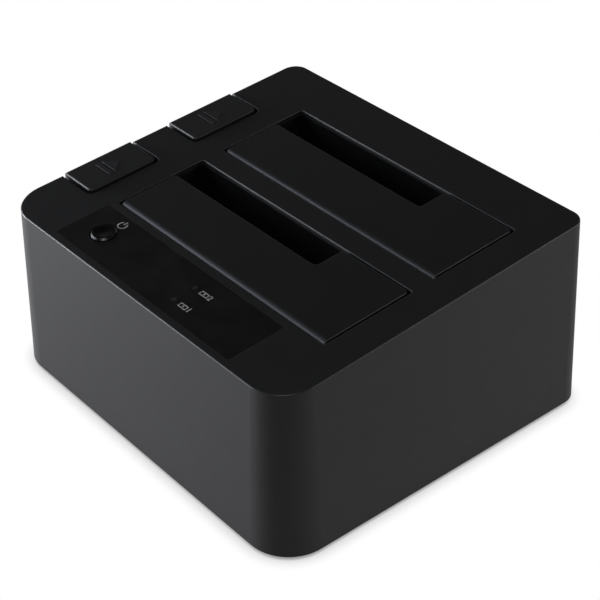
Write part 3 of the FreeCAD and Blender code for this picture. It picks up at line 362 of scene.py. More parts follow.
zinc = metal("screw_zinc", (0.30, 0.30, 0.31), roughness=0.32)
steel = metal("pin_steel", (0.62, 0.61, 0.60), roughness=0.22, streak=ALONG_X)
spring_wire = metal("spring_wire", (0.55, 0.55, 0.54), roughness=0.25)
gold = metal("contact_gold", (0.90, 0.62, 0.22), roughness=0.2)
tin = metal("shell_tin", (0.66, 0.66, 0.67), roughness=0.24, streak=ALONG_Y)
can_sleeve = metal("can_aluminium", (0.70, 0.71, 0.73), roughness=0.25)
print("metals:", listed(zinc, steel, spring_wire, gold, tin, can_sleeve))

# %% [markdown]
# The circuit boards show through the vents and round the sockets. Green solder mask lies over
# copper, and the copper's edges show through it as paler tracks. A pattern of bands, bent by noise,
# stands for the tracks and a pattern of cells for the vias, so none of them has to be modelled.

# %% Circuit boards
BANDS_TO_THE_METRE, CELLS_TO_THE_METRE = 120.0, 260.0
VIA_COPPER = (0.55, 0.50, 0.35)


def board(name, colour):
    """Solder mask over copper: raised paler tracks, and vias as small bare dots."""
    made = Finish(name, Specular_IOR_Level=0.5)
    bands = {"Vector": made.spot(), "Scale": BANDS_TO_THE_METRE, "Distortion": 3.0}
    tracks = made.node("ShaderNodeTexWave", {"bands_direction": "Y", "wave_profile": "TRI"}, bands)
    track = made.steps(tracks, (0.78, 0), (0.84, 1))
    spots = {"Vector": made.spot(), "Scale": CELLS_TO_THE_METRE}
    cells = made.node("ShaderNodeTexVoronoi", {"feature": "F1"}, spots)
    via = made.steps(cells, (0.16, 1), (0.2, 0))
    masked = made.mix(track, colour, shade(colour, 1.7))
    made.colour(made.mix(via, masked, VIA_COPPER))
    made.roughness(0.34 + made.noise(size=mm(4)) * 0.12)
    made.bump(track * 0.6 + via * 0.4, depth=mm(0.03))
    return made.material


solder_mask = board("board_mask", (0.008, 0.085, 0.035))
print("boards:", listed(solder_mask))

# %% [markdown]
# A light pipe carries a lamp's light up to the strip. It is clear plastic with a frosted end, and
# unlit it looks like a dark bead. The lamps under the pipes have milky lenses.


# %% Light pipes and lamps
def clear(name, colour, roughness):
    """Frosted clear plastic: about a third of the light goes through it."""
    made = Finish(name, Transmission_Weight=0.35, IOR=1.49)
    frost = made.noise(size=mm(0.4), detail=3.0)
    made.colour(made.mix(frost, shade(colour, 0.9), colour))
    made.roughness(roughness + frost * 0.15)
    made.bump(frost, depth=mm(0.004))
    return made.material


pipe = clear("light_pipe", (0.05, 0.05, 0.05), roughness=0.3)
lamp = moulded("lamp_lens", (0.55, 0.54, 0.45), roughness=0.3, depth=mm(0.003), specular=0.5)
print("lights:", listed(pipe, lamp))

# %% [markdown]
# ## Dress the solids
#
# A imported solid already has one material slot. Its finish is assigned there, and nothing else about
# it changes. Solids that come in pairs, such as the flaps, share one line.

# %% Give every solid its finish
DRESS = {
    "top_housing": housing,
    "bottom_cover": cover,
    "rubber_feet": feet,
    "main_board": solder_mask,
    "button_board": solder_mask,
    "board_chips": package,
    "board_capacitors": can_sleeve,
    "cover_screws": zinc,
    "board_screws": zinc,
    "well_screws": zinc,
    "panel_screws": zinc,
    "usb_port": tin,
    "usb_insulator": white_insulator,
    "power_inlet": socket_black,
    "inlet_pin": steel,
    "status_panel": inlay,
    "power_button": power_key,
    "power_switch": package,
    "status_leds": lamp,
    "light_pipes": pipe,
    "sata_socket": socket_black,
    "drive_well": well,
    "bay_door": door,
    "hinge_pin": steel,
    "eject_button": key,
    "eject_lever": acetal,
    "lever_pin": steel,
    "eject_spring": spring_wire,
}
for name, solid in nodes.items():
    finish = DRESS.get(name) or DRESS[name.rsplit("_", 1)[0]]
    solid.data.materials.clear()
    solid.data.materials.append(finish)
print("dressed", len(nodes), "solids")

# %% [markdown]
# ## Tools for small pieces
#
# The solids stop at what the moulds and machines make. The rest is small: printed marks, sprung
# contacts, solder, screw recesses. Each is placed by a plumb line dropped on a solid, or by the box of
# a solid or of one of its lumps, so it follows when that solid moves.

# %% Find places on the solids
ABOVE_ALL = 1.0
SAME_POINT = mm(0.001)


def surface_under(node, x, y):
    """Where a plumb line dropped at x, y first meets a solid, and which way the surface faces there."""
    _, place, normal, _ = nodes[node].ray_cast(Vector((x, y, ABOVE_ALL)), Vector((0, 0, -1)))
    return place, normal


def laid_on(node, x, y):
    """A frame on a solid's surface: x runs right, y up the slope, z square to the surface."""
    place, up = surface_under(node, x, y)
    right = Vector((1, 0, 0))
    turn = Matrix((right, up.cross(right), up)).transposed()
    return Matrix.Translation(place) @ turn.to_4x4()


def lumps(node):
    """The separate solids inside one node, each as a list of its points."""
    mesh = bmesh.new()
    mesh.from_mesh(nodes[node].data)
    bmesh.ops.remove_doubles(mesh, verts=mesh.verts, dist=SAME_POINT)
    left, found = set(mesh.verts), []
    while left:
        heap, seen = [left.pop()], []
        while heap:
            vert = heap.pop()
            seen.append(vert.co.copy())
            for edge in vert.link_edges:
                other = edge.other_vert(vert)
                if other in left:
                    left.remove(other)
                    heap.append(other)
        found.append(seen)
    mesh.free()
    return sorted(found, key=lambda points: tuple(min(p[i] for p in points) for i in range(3)))


def span(points):
    """The lowest and highest corners of a set of points."""
    low = Vector(min(p[i] for p in points) for i in range(3))
    high = Vector(max(p[i] for p in points) for i in range(3))
    return low, high


def halfway(low, high):
    """The x and y halfway between two corners."""
    return (low.x + high.x) / 2, (low.y + high.y) / 2


print("lumps:", {name: len(lumps(name)) for name in ("board_chips", "board_capacitors", "light_pipes")})

# %% [markdown]
# Most small pieces are strips of even thickness: a printed line, a bent contact, a lead. A strip is
# built between two rows of points and raised by its thickness. Where a piece is drawn as a line, its
# two sides lie half a width away from it.


# %% Strips
def strip(mesh, left, right, height, at, closed=False):
    """A band between two rows of points, raised by height along the frame's z."""
    rows = []
    for z in (0.0, height):
        for side in (left, right):
            rows.append([mesh.verts.new(at @ Vector((x, y, z))) for x, y in side])
    low_left, low_right, top_left, top_right = rows
    count = len(left)
    for i in range(count if closed else count - 1):
        j = (i + 1) % count
        mesh.faces.new((top_left[i], top_left[j], top_right[j], top_right[i]))
        mesh.faces.new((low_left[j], low_left[i], low_right[i], low_right[j]))
        mesh.faces.new((low_left[i], low_left[j], top_left[j], top_left[i]))
        mesh.faces.new((low_right[j], low_right[i], top_right[i], top_right[j]))
    if not closed:
        for i in (0, count - 1):
            mesh.faces.new((low_left[i], low_right[i], top_right[i], top_left[i]))


def thick(path, width):
    """The two sides of a line of points, half a width away from it."""
    sides = ([], [])
    for i, here in enumerate(path):
        before, after = path[max(i - 1, 0)], path[min(i + 1, len(path) - 1)]
        along = (Vector(after) - Vector(before)).normalized()
        across = Vector((-along.y, along.x)) * width / 2
        sides[0].append(Vector(here) + across)
        sides[1].append(Vector(here) - across)
    return sides


def arc(radius, start, end, steps=20, centre=(0, 0)):
    """Points on an arc between two angles, in degrees."""
    turns = [math.radians(start + (end - start) * i / steps) for i in range(steps + 1)]
    return [(centre[0] + radius * math.cos(a), centre[1] + radius * math.sin(a)) for a in turns]


def box_outline(left, right, low, high):
    """The corners of a rectangle, running anticlockwise."""
    return [(left, low), (right, low), (right, high), (left, high)]


print("a circle is drawn with", len(arc(1, 0, 360)) - 1, "sides")

# %% [markdown]
# Solder, screws and cans are turned shapes: a profile of radius and height, spun about an axis. A
# finished mesh then becomes a piece. It gets a name and a finish, and rides on the body it moves with.


# %% Turned shapes and finished pieces
def ring_of(radius, height, around):
    """Points spaced evenly on a level circle about the z axis."""
    turns = [2 * math.pi * i / around for i in range(around)]
    return [Vector((radius * math.cos(a), radius * math.sin(a), height)) for a in turns]


def walls(mesh, rings):
    """Faces between each ring of points and the next; four corners, or three where two are one."""
    made = []
    for low, high in zip(rings, rings[1:]):
        for i in range(len(low)):
            j = (i + 1) % len(low)
            corners = dict.fromkeys((low[i], low[j], high[j], high[i]))
            made.append(mesh.faces.new(tuple(corners)))
    return made


def turned(mesh, profile, at, around=24):
    """Spin a profile of radius and height about the frame's z; a radius of 0 closes it."""
    rings = []
    for radius, height in profile:
        if radius == 0:
            rings.append([mesh.verts.new(at @ Vector((0, 0, height)))] * around)
        else:
            rings.append([mesh.verts.new(at @ point) for point in ring_of(radius, height, around)])
    walls(mesh, rings)


def put_in_scene(name, data):
    """An object for a mesh, a lamp or a camera, linked to the scene."""
    thing = bpy.data.objects.new(name, data)
    bpy.context.scene.collection.objects.link(thing)
    return thing


def mesh_data(name, mesh):
    """Blender's own form of an edited mesh, which is freed."""
    data = bpy.data.meshes.new(name)
    mesh.to_mesh(data)
    mesh.free()
    return data


def piece_of(name, mesh, body, finish, smooth_under=35):
    """Name a finished mesh, give it its finish and let it ride on a body."""
    bmesh.ops.recalc_face_normals(mesh, faces=mesh.faces)
    sharp = math.radians(smooth_under)
    for face in mesh.faces:
        face.smooth = True
    for edge in mesh.edges:
        edge.smooth = len(edge.link_faces) == 2 and edge.calc_face_angle(0.0) < sharp
    data = mesh_data(name, mesh)
    data.materials.append(finish)
    piece = put_in_scene(name, data)
    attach(piece, body)
    print(f"{name}: {len(data.polygons)} faces on {body}")
    return piece


print("a quarter of the way round a ring:", ring_of(1, 0, 4)[1])

# %% [markdown]
# ## Marks on the lid
#
# Each eject key has a raised mark, a triangle over a bar, in matt grey that is only a little lighter
# than the key. It is a flat outline given a little height and laid on the surface found under it. Its
# upper edge is bevelled by moving the outline inwards, so it catches the light as a moulding does.

# %% Eject marks
MARK_W, MARK_H, MARK_BAR, MARK_GAP = mm(8.4), mm(4.4), mm(1.6), mm(1.0)
MARK_RISE, MARK_BEVEL = mm(0.1), mm(0.09)
key_mark = moulded(
    "key_mark_matt", (0.045, 0.045, 0.047), roughness=0.72, grain=mm(0.18), depth=mm(0.006), specular=0.1
)


def inset(outline, amount):
    """The outline moved inwards; its points run anticlockwise."""
    moved = []
    for i, here in enumerate(outline):
        here, before, after = Vector(here), Vector(outline[i - 1]), Vector(outline[(i + 1) % len(outline)])
        a, b = (here - before).normalized(), (after - here).normalized()
        inward = Vector((-a.y - b.y, a.x + b.x)) / (1 + a.dot(b))
        moved.append(here + inward * amount)
    return moved


def raised(mesh, outline, height, bevel, at):
    """A plate with a bevelled rim, its foot sunk a little into what it stands on."""
    levels = [(-height / 4, 0.0), (height - bevel, 0.0), (height, bevel)]
    rings = []
    for z, amount in levels:
        ring = inset(outline, amount)
        rings.append([mesh.verts.new(at @ Vector((p.x, p.y, z))) for p in ring])
    walls(mesh, rings)
    mesh.faces.new(rings[0][::-1])
    mesh.faces.new(rings[-1])


BAYS = "1", "2"
half, foot = MARK_W / 2, -(MARK_H + MARK_BAR + MARK_GAP) / 2
bar_top = foot + MARK_BAR
bar = box_outline(-half, half, foot, bar_top)
triangle = [(-half, bar_top + MARK_GAP), (half, bar_top + MARK_GAP), (0, bar_top + MARK_GAP + MARK_H)]
for bay in BAYS:
    button = middle(f"eject_button_{bay}")
    at = laid_on(f"eject_button_{bay}", button.x, button.y)
    mark = bmesh.new()
    for outline in (bar, triangle):
        raised(mark, outline, MARK_RISE, MARK_BEVEL, at)
    piece_of(f"eject_mark_{bay}", mark, f"eject_key_{bay}", key_mark)

# %% [markdown]
# The status strip lies in a shallow seat whose edge the mould rounds over. Left open, that rounding
# would catch a bright line along the strip. A thin surround of the housing's own plastic fills it,
# level with the lid but for a hair, and leaves only a fine joint round the strip.

# %% Panel surround
SURROUND, SURROUND_DEPTH, SURROUND_CORNER = mm(0.9), mm(0.4), mm(1.7)
PANEL_STEP, HAIR, JOINT = mm(0.05), mm(0.01), mm(0.08)
CORNER_STEPS = 8


def rounded_plan(low, high, corner):
    """A rectangle with round corners, its points running anticlockwise."""
    left, right, front, back = low.x + corner, high.x - corner, low.y + corner, high.y - corner
    quarters = [(right, back, 0), (left, back, 90), (left, front, 180), (right, front, 270)]
    return [point for x, y, turn in quarters for point in arc(corner, turn, turn + 90, CORNER_STEPS, (x, y))]


panel = middle("status_panel")
at = laid_on("status_panel", panel.x, panel.y)
low, high = span([at.inverted() @ vert.co for vert in nodes["status_panel"].data.vertices])
wider = Vector((SURROUND, SURROUND, 0))
rim = rounded_plan(low - wider, high + wider, SURROUND_CORNER)
bottom = at @ Matrix.Translation((0, 0, -SURROUND_DEPTH))
surround = bmesh.new()
rise = SURROUND_DEPTH + PANEL_STEP - HAIR
strip(surround, rim, inset(rim, SURROUND - JOINT), rise, bottom, closed=True)
piece_of("panel_surround", surround, "dock", housing)

# %% [markdown]
# The strip's marks are printed in white ink, a fiftieth of a millimetre thick. By the key there is a
# power sign: a ring, open at the top, with a short stroke in the gap. Ink could be painted into the
# strip's material, but as a mesh its edges stay sharp at any distance.

# %% Power sign
ink = moulded("print_ink", (0.92, 0.92, 0.90), roughness=0.5, grain=mm(0.1), depth=mm(0.002), mottle=0.05)
INK, LINE = mm(0.02), mm(0.44)
POWER_RIGHT, POWER_UP, POWER_LINE = mm(1.0), mm(6.4), LINE * 1.1
POWER_RING, RING_START, RING_END = mm(1.6), 125, 415
STROKE_START, STROKE_END = mm(0.5), mm(2.2)

key_middle = middle("power_button")
at = laid_on("status_panel", key_middle.x + POWER_RIGHT, key_middle.y + POWER_UP)
power_sign = bmesh.new()
for line in (arc(POWER_RING, RING_START, RING_END), [(0, STROKE_START), (0, STROKE_END)]):
    strip(power_sign, *thick(line, POWER_LINE), INK, at)
piece_of("power_sign", power_sign, "dock", ink)

# %% [markdown]
# Beside each light there is a small drive, a frame with a hub, and the bay's number. The number comes
# from Blender's own plain font: a text curve is thickened, turned into a mesh and removed.

# %% Drive signs
SIGN_W, SIGN_H, SIGN_LINE = mm(3.6), mm(1.9), LINE * 0.8
SIGN_RIGHT, SIGN_DOWN = mm(4.8), mm(0.5)
HUB, HUB_LINE = mm(0.22), LINE * 0.7
DIGIT_H, DIGIT_GAP = SIGN_H * 1.1, mm(1.0)
FONT_TO_DIGIT = 1.43
sign_frame = box_outline(-SIGN_W / 2, SIGN_W / 2, -SIGN_H / 2, SIGN_H / 2)


def printed_number(digit, height):
    """A plain digit of ink as mesh data, lying at the origin."""
    words = bpy.data.curves.new(f"digit_{digit}", "FONT")
    words.body, words.size, words.extrude = digit, height * FONT_TO_DIGIT, INK / 2
    words.offset = LINE / 8
    words.align_x = "CENTER"
    data = bpy.data.meshes.new_from_object(bpy.data.objects.new(f"digit_{digit}", words))
    bpy.data.curves.remove(words)
    return data


def add_mesh(mesh, data, at):
    """Add mesh data to a mesh, placed by a frame; the data is then removed."""
    data.transform(at)
    mesh.from_mesh(data)
    bpy.data.meshes.remove(data)


lights = sorted((span(points) for points in lumps("light_pipes")), key=lambda box: box[0].y)
for number, (low, high) in enumerate(lights, 1):
    light = (low + high) / 2
    at = laid_on("status_panel", light.x + SIGN_RIGHT, light.y - SIGN_DOWN)
    sign = bmesh.new()
    strip(sign, sign_frame, inset(sign_frame, SIGN_LINE), INK, at, closed=True)
    strip(sign, *thick(arc(HUB, 0, 360), HUB_LINE), INK, at)
    beside = Matrix.Translation((SIGN_W / 2 + DIGIT_GAP, -SIGN_H / 2, INK / 2))
    add_mesh(sign, printed_number(str(number), DIGIT_H), at @ beside)
    piece_of(f"drive_sign_{number}", sign, "dock", ink)

# %% [markdown]
# ## Contacts
#
# A drive slides onto two rows of sprung contacts at the bottom of its bay: fifteen for power and
# seven for data, 1.27 mm apart. Each is a strip of gilded bronze that bows out of the slot's wall, so
# it is a bent path with a thickness.

# %% Drive socket contacts
PITCH, LEAF_W, LEAF_T = mm(1.27), mm(0.62), mm(0.16)
# Each slot's start from the socket's middle, its length, and how many contacts stand in it.
POWER_SLOT, DATA_SLOT = (mm(-16.7), mm(20.8), 15), (mm(6.1), mm(10.6), 7)
SLOT_HALF = mm(0.7)
LEAF_FOOT, LEAF_TOP = mm(5.4), mm(0.4)
# How far out of the wall a contact bows, in millimetres, at each share of its height.
BOW = [(0.0, 0.0), (0.02, 0.35), (0.2, 0.55), (0.3, 0.68), (0.24, 0.8), (0.05, 0.93)]
OUT_OF_WALL = Matrix(((0, 0, 1, 0), (1, 0, 0, 0), (0, 1, 0, 0), (0, 0, 0, 1)))


def leaf_path(foot, top):
    """A contact seen from its side: up along the wall, a bow into the slot, and back to the wall."""
    return [(SLOT_HALF - LEAF_T / 2 - mm(out), foot + (top - foot) * up) for out, up in BOW]


def contact_places(centre_x):
    """The x of each contact of a socket, with its number in its own slot."""
    places = []
    for start, length, count in (POWER_SLOT, DATA_SLOT):
        first = centre_x + start + (length - (count - 1) * PITCH) / 2
        places += [(first + i * PITCH, i) for i in range(count)]
    return places


for bay in BAYS:
    low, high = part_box(f"sata_socket_{bay}")
    centre_x, centre_y = halfway(low, high)
    side_view = thick(leaf_path(high.z - LEAF_FOOT, high.z - LEAF_TOP), LEAF_T)
    leaves = bmesh.new()
    for x, _ in contact_places(centre_x):
        at = Matrix.Translation((x - LEAF_W / 2, centre_y, 0)) @ OUT_OF_WALL
        strip(leaves, *side_view, LEAF_W, at)
    piece_of(f"drive_contacts_{bay}", leaves, "dock", gold)

# %% [markdown]
# The data port at the back has a white tongue with four flat contacts, two above and two below. A
# plumb line finds the tongue's top, and each contact is sunk a little into the tongue.

# %% Data port contacts
TONGUE_T, PLUMB_IN = mm(2.52), mm(2)
FLAT_W, FLAT_LENGTH, FLAT_T, FLAT_SUNK = mm(1.1), mm(6.4), mm(0.15), mm(0.05)
FLAT_ASIDE, FLAT_IN = mm(1.25), mm(7.6)

block_low, block_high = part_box("usb_insulator")
tongue_x, _ = halfway(block_low, block_high)
tongue_top, _ = surface_under("usb_insulator", tongue_x, block_high.y - PLUMB_IN)
flats = bmesh.new()
for z in (tongue_top.z - FLAT_SUNK, tongue_top.z - TONGUE_T - (FLAT_T - FLAT_SUNK)):
    for across in (-1, 1):
        x = tongue_x + across * FLAT_ASIDE - FLAT_W / 2
        at = Matrix.Translation((x, block_high.y - FLAT_IN, z))
        strip(flats, [(0, 0), (0, FLAT_LENGTH)], [(FLAT_W, 0), (FLAT_W, FLAT_LENGTH)], FLAT_T, at)
piece_of("port_contacts", flats, "dock", gold)

# %% [markdown]
# ## On the boards
#
# Through the vents and the well's windows the board shows from both sides. The chips have rows of
# gull-wing leads: out of the package, down, and out again on the board. One lead is a bent strip, and
# a loop sets out the rest.

# %% Chip leads
LEAD_T, LEAD_SOLE = mm(0.15), mm(0.08)
LEAD_ROOT = 0.45
# How far from the package's edge a lead starts, turns down, turns out again and ends.
LEAD_BENDS = mm(-0.1), mm(0.3), mm(0.5), mm(1.0)
CHIP_CORNER, LARGE_CHIP = mm(1), mm(10)
FINE_PITCH, COARSE_PITCH = mm(0.8), mm(1.27)


def gull_wings(mesh, low, high, pitch):
    """Leads along two opposite sides of a chip, or along all four of a large one."""
    size = high.x - low.x
    root = (high.z - low.z) * LEAD_ROOT
    levels = root, root, LEAD_SOLE, LEAD_SOLE
    side_view = thick([(size / 2 + out, z) for out, z in zip(LEAD_BENDS, levels)], LEAD_T)
    count = int((size - CHIP_CORNER) / pitch)
    for quarter in (0, 1, 2, 3) if size > LARGE_CHIP else (0, 2):
        turn = Matrix.Rotation(quarter * math.pi / 2, 4, "Z")
        for i in range(count):
            shift = (i - (count - 1) / 2) * pitch - pitch / 4
            upright = Matrix(((1, 0, 0, 0), (0, 0, 1, shift), (0, 1, 0, 0), (0, 0, 0, 1)))
            at = Matrix.Translation((*halfway(low, high), low.z)) @ turn @ upright
            strip(mesh, *side_view, pitch / 2, at)


leads = bmesh.new()
for points in lumps("board_chips"):
    low, high = span(points)
    gull_wings(leads, low, high, FINE_PITCH if high.x - low.x > LARGE_CHIP else COARSE_PITCH)
piece_of("chip_leads", leads, "dock", tin)

# %% [markdown]
# Each through-hole pin ends under the board in a small cone of solder, with its cut end standing out.
# The drive sockets have a pin for each contact, in two staggered rows, and the ports and the
# capacitors have two pins each.

# %% Solder under the board
CONE = [(mm(0.55), 0.0), (mm(0.42), mm(-0.18)), (mm(0.2), mm(-0.42)), (mm(0.16), mm(-0.7)), (0, mm(-0.72))]
STAGGER, PIN_ASIDE = mm(1.1), mm(1.75)

pins = []
for bay in BAYS:
    centre_x, centre_y = halfway(*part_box(f"sata_socket_{bay}"))
    for x, i in contact_places(centre_x):
        pins.append((x, centre_y + (STAGGER if i % 2 else -STAGGER)))
two_pinned = [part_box("usb_port"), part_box("power_inlet")]
two_pinned += [span(points) for points in lumps("board_capacitors")]
for low, high in two_pinned:
    centre_x, centre_y = halfway(low, high)
    pins += [(centre_x - PIN_ASIDE, centre_y), (centre_x + PIN_ASIDE, centre_y)]

board_low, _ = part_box("main_board")
solder = bmesh.new()
for x, y in pins:
    turned(solder, CONE, Matrix.Translation((x, y, board_low.z)), around=10)
piece_of("solder_joints", solder, "dock", tin, smooth_under=80)

# %% [markdown]
# ## Screws, cans and springs
#
# A solid screw is a plain head on a plain shank. The real ones have a cross recess and a thread, so
# each is built again at the same place and stands in for the plain one. The thread is turned as plain
# rings, which look the same as a helix at this size. The recess is cut with a Boolean, the one shape
# here that neither a strip nor a turned profile can give.

# %% Cross recess
RECESS_THIN, RECESS_FOOT, RECESS_LIFT = 0.16, 0.45, 0.2


def recess_cutter(size, depth):
    """Two crossed wedges that taper as they go down; they start a little above z = 0."""
    mesh = bmesh.new()
    wide, thin = size, size * RECESS_THIN
    top = box_outline(-wide, wide, -thin, thin)
    for quarter in (0, 1):
        turn = Matrix.Rotation(quarter * math.pi / 2, 3, "Z")
        rings = []
        for scale, z in ((1.0, depth * RECESS_LIFT), (RECESS_FOOT, -depth)):
            corners = [Vector((x * scale, y * (0.5 + scale / 2), z)) for x, y in top]
            rings.append([mesh.verts.new(turn @ corner) for corner in corners])
        walls(mesh, rings)
        mesh.faces.new(rings[0])
        mesh.faces.new(rings[1][::-1])
    bmesh.ops.recalc_face_normals(mesh, faces=mesh.faces)
    return mesh


print(f"a recess narrows to {RECESS_FOOT:.0%} at its foot")

# %% [markdown]
# A screw's profile runs from its tip up the thread and over the head. Each turn of the thread has a
# crest, a flank down to the core, and the core itself. Blender's modifier does the cut, and the
# result is taken as mesh data, so that neither the blank nor the cutter stays behind.

# %% One screw
THREAD_CORE, TIP = 0.8, 0.55
# Where a turn's crest ends, and where its core starts and ends, as shares of the pitch.
CREST_END, CORE_START, CORE_END = 0.3, 0.55, 0.8
# The head's rounded outline, as shares of its radius and thickness.
PAN_HEAD = [(1, 0), (1, 0.45), (0.92, 0.75), (0.7, 0.95), (0.4, 1), (0, 1)]
RECESS_SIZE, RECESS_DEPTH = 0.55, 0.75


def screw_mesh(head_r, head_t, shank_r, length, pitch):
    """A pan-head screw that points down, with its head's seat at z = 0."""
    core_r = shank_r * THREAD_CORE
    profile = [(0, -length), (shank_r * TIP, -length), (shank_r, -length + shank_r)]
    for i in range(int((length - 2 * shank_r) / pitch)):
        z = -length + shank_r + i * pitch
        profile += [(shank_r, z + pitch * CREST_END), (core_r, z + pitch * CORE_START)]
        profile += [(core_r, z + pitch * CORE_END), (shank_r, z + pitch)]
    profile.append((shank_r, 0))
    profile += [(head_r * out, head_t * up) for out, up in PAN_HEAD]
    body = bmesh.new()
    turned(body, profile, Matrix.Identity(4), around=28)
    bmesh.ops.recalc_face_normals(body, faces=body.faces)
    screw = put_in_scene("screw_blank", mesh_data("screw_blank", body))
    wedges = recess_cutter(head_r * RECESS_SIZE, head_t * RECESS_DEPTH)
    cutter = put_in_scene("screw_cutter", mesh_data("screw_cutter", wedges))
    cutter.location.z = head_t
    cut = screw.modifiers.new("recess", "BOOLEAN")
    cut.operation, cut.object, cut.solver, cut.use_self = "DIFFERENCE", cutter, "EXACT", True
    bpy.context.view_layer.update()
    made = bpy.data.meshes.new_from_object(screw.evaluated_get(bpy.context.evaluated_depsgraph_get()))
    for blank in (screw.data, cutter.data):
        bpy.data.meshes.remove(blank)
    return made


print("a head is turned from", len(PAN_HEAD), "points")

# %% [markdown]
# A screw's axis, its head's seat and its sizes are read from the points of the plain solid, with the
# lid's tilt taken off for the screws that stand square to it.

# %% Every screw
HEAD_UP = {"cover_screws": False, "well_screws": False, "panel_screws": False, "board_screws": True}
PITCH_TO_SHANK, HEAD_TO_SHANK, NEAR_TIP = 0.55, 1.3, mm(0.01)


def plain_screw(points, head_up):
    """A plain screw's axis, the height of its head's seat, and the sizes that a new one needs."""
    low, high = span(points)
    axis = (low + high) / 2
    far = low.z if head_up else high.z
    tip = [p for p in points if abs(p.z - far) < NEAR_TIP]
    shank_r = max((p.xy - axis.xy).length for p in tip)
    head = [p for p in points if (p.xy - axis.xy).length > shank_r * HEAD_TO_SHANK]
    heights = sorted({round(p.z, 6) for p in head})
    seat, crown = (heights[0], heights[-1]) if head_up else (heights[-1], heights[0])
    head_r = max((p.xy - axis.xy).length for p in head)
    return axis, seat, (head_r, abs(crown - seat), shank_r, abs(seat - far), shank_r * PITCH_TO_SHANK)


for node, head_up in HEAD_UP.items():
    upright = Matrix.Rotation(SLOPE if node == "panel_screws" else 0.0, 3, "X")
    flip = Matrix.Identity(4) if head_up else Matrix.Rotation(math.pi, 4, "X")
    made = None
    group = bmesh.new()
    for points in lumps(node):
        axis, seat, sizes = plain_screw([upright.inverted() @ p for p in points], head_up)
        made = made or screw_mesh(*sizes)
        add_mesh(group, made.copy(), upright.to_4x4() @ Matrix.Translation((axis.x, axis.y, seat)) @ flip)
    bpy.data.meshes.remove(made)
    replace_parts(piece_of(f"{node}_cut", group, "dock", zinc), node)

# %% [markdown]
# A capacitor's can is rolled in just above its foot to hold the seal, and its rim is rolled over. The
# solid model has plain cylinders, so each can is turned again with its waist and its bead.

# %% Capacitor cans
RIM = mm(0.35)
# Shares of the can's height: where the rolled waist starts, is deepest, and ends.
WAIST_START, WAIST, WAIST_END = 0.12, 0.16, 0.2


def can_profile(radius, height):
    """Foot, waist, wall, bead and the sunk top of one can."""
    foot = [(0, 0), (radius * 0.9, 0), (radius, RIM)]
    waist = [(radius, height * WAIST_START), (radius * 0.92, height * WAIST), (radius, height * WAIST_END)]
    bead = [(radius, height - RIM), (radius * 0.93, height), (radius * 0.85, height)]
    return foot + waist + bead + [(radius * 0.82, height - RIM / 2), (0, height - RIM / 2)]


cans = bmesh.new()
for points in lumps("board_capacitors"):
    low, high = span(points)
    at = Matrix.Translation((*halfway(low, high), low.z))
    turned(cans, can_profile((high.x - low.x) / 2, high.z - low.z), at, around=40)
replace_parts(piece_of("capacitor_cans", cans, "dock", can_sleeve), "board_capacitors")

# %% [markdown]
# The key's return spring is a coil round its push rod. Its first and last turns lie closed on
# themselves, so that it stands square.

# %% Return springs
WIRE_R = mm(0.4)
TURNS, PER_TURN, ROUND_WIRE = 7, 28, 12


def coil(mesh, centre, mean, low, high):
    """A round wire wound from low to high, with a closed turn at each end."""
    steps = TURNS * PER_TURN
    closed_rise = 2 * WIRE_R / PER_TURN
    # Six radii are taken: one at each end, and two for each closed turn.
    open_rise = (high - low - 6 * WIRE_R) / (steps - 2 * PER_TURN)
    height, rings = low + WIRE_R, []
    for step in range(steps + 1):
        turn = 2 * math.pi * step / PER_TURN
        out = Vector((math.cos(turn), math.sin(turn), 0))
        at = Vector((centre.x, centre.y, height)) + out * mean
        spokes = [2 * math.pi * side / ROUND_WIRE for side in range(ROUND_WIRE)]
        ring = [at + out * (WIRE_R * math.cos(s)) + Vector((0, 0, WIRE_R * math.sin(s))) for s in spokes]
        rings.append([mesh.verts.new(point) for point in ring])
        height += closed_rise if step < PER_TURN or step >= steps - PER_TURN else open_rise
    walls(mesh, rings)
    mesh.faces.new(rings[0][::-1])
    mesh.faces.new(rings[-1])


for bay in BAYS:
    low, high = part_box(f"eject_spring_{bay}")
    centre_line = (low + high) / 2
    winding = bmesh.new()
    coil(winding, centre_line, (high.x - low.x) / 2 - WIRE_R, low.z, high.z)
    made = piece_of(f"return_spring_{bay}", winding, "dock", spring_wire, smooth_under=60)
    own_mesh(made)
    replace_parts(made, f"eject_spring_{bay}")

# %% [markdown]
# ## Studio
#
# The dock stands on a white sweep: a round floor that curves up into a low wall, so there is no
# corner behind it from any side. A real white floor would throw so much light up that black plastic
# turns grey. So the sweep is white only where it is looked at, directly, as a reflection or through
# clear plastic, and the light that it scatters is that of a grey card. Close to the dock that white
# is darkened by ambient occlusion: a painted shadow where the dock stands on it.

# %% Sweep
SWEEP_GREY = (0.38, 0.38, 0.38)
SHADE_REACH = mm(7)
SHADE_STOPS = (0.0, 0.0), (0.55, 0.75), (0.85, 1.0)
BLEND_FACTOR, BLEND_FIRST, BLEND_SECOND = 0, 1, 2


def sweep_material():
    """A grey card to the light it scatters, and white to the eye, darkened near the dock by a painted shadow.
    """
    made = Finish("sweep_white", Base_Color=SWEEP_GREY, Roughness=0.9)
    rays = made.node("ShaderNodeLightPath").socket.node.outputs
    camera, glossy = Signal(made, rays["Is Camera Ray"]), Signal(made, rays["Is Glossy Ray"])
    through = Signal(made, rays["Is Transmission Ray"])
    # Ambient occlusion darkens the floor's white emission near the dock: this is a painted shadow.
    painted_shadow_mask = made.node("ShaderNodeAmbientOcclusion", {"samples": 8}, {"Distance": SHADE_REACH}, output="AO")
    white_with_painted_shadow = made.node("ShaderNodeEmission", None, {"Color": made.steps(painted_shadow_mask, *SHADE_STOPS)})
    card = Signal(made, made.shader.outputs["BSDF"])
    looked_at = {BLEND_FACTOR: camera + glossy + through, BLEND_FIRST: card, BLEND_SECOND: white_with_painted_shadow}
    made.feed(made.surface, made.node("ShaderNodeMixShader", None, looked_at))
    return made.material


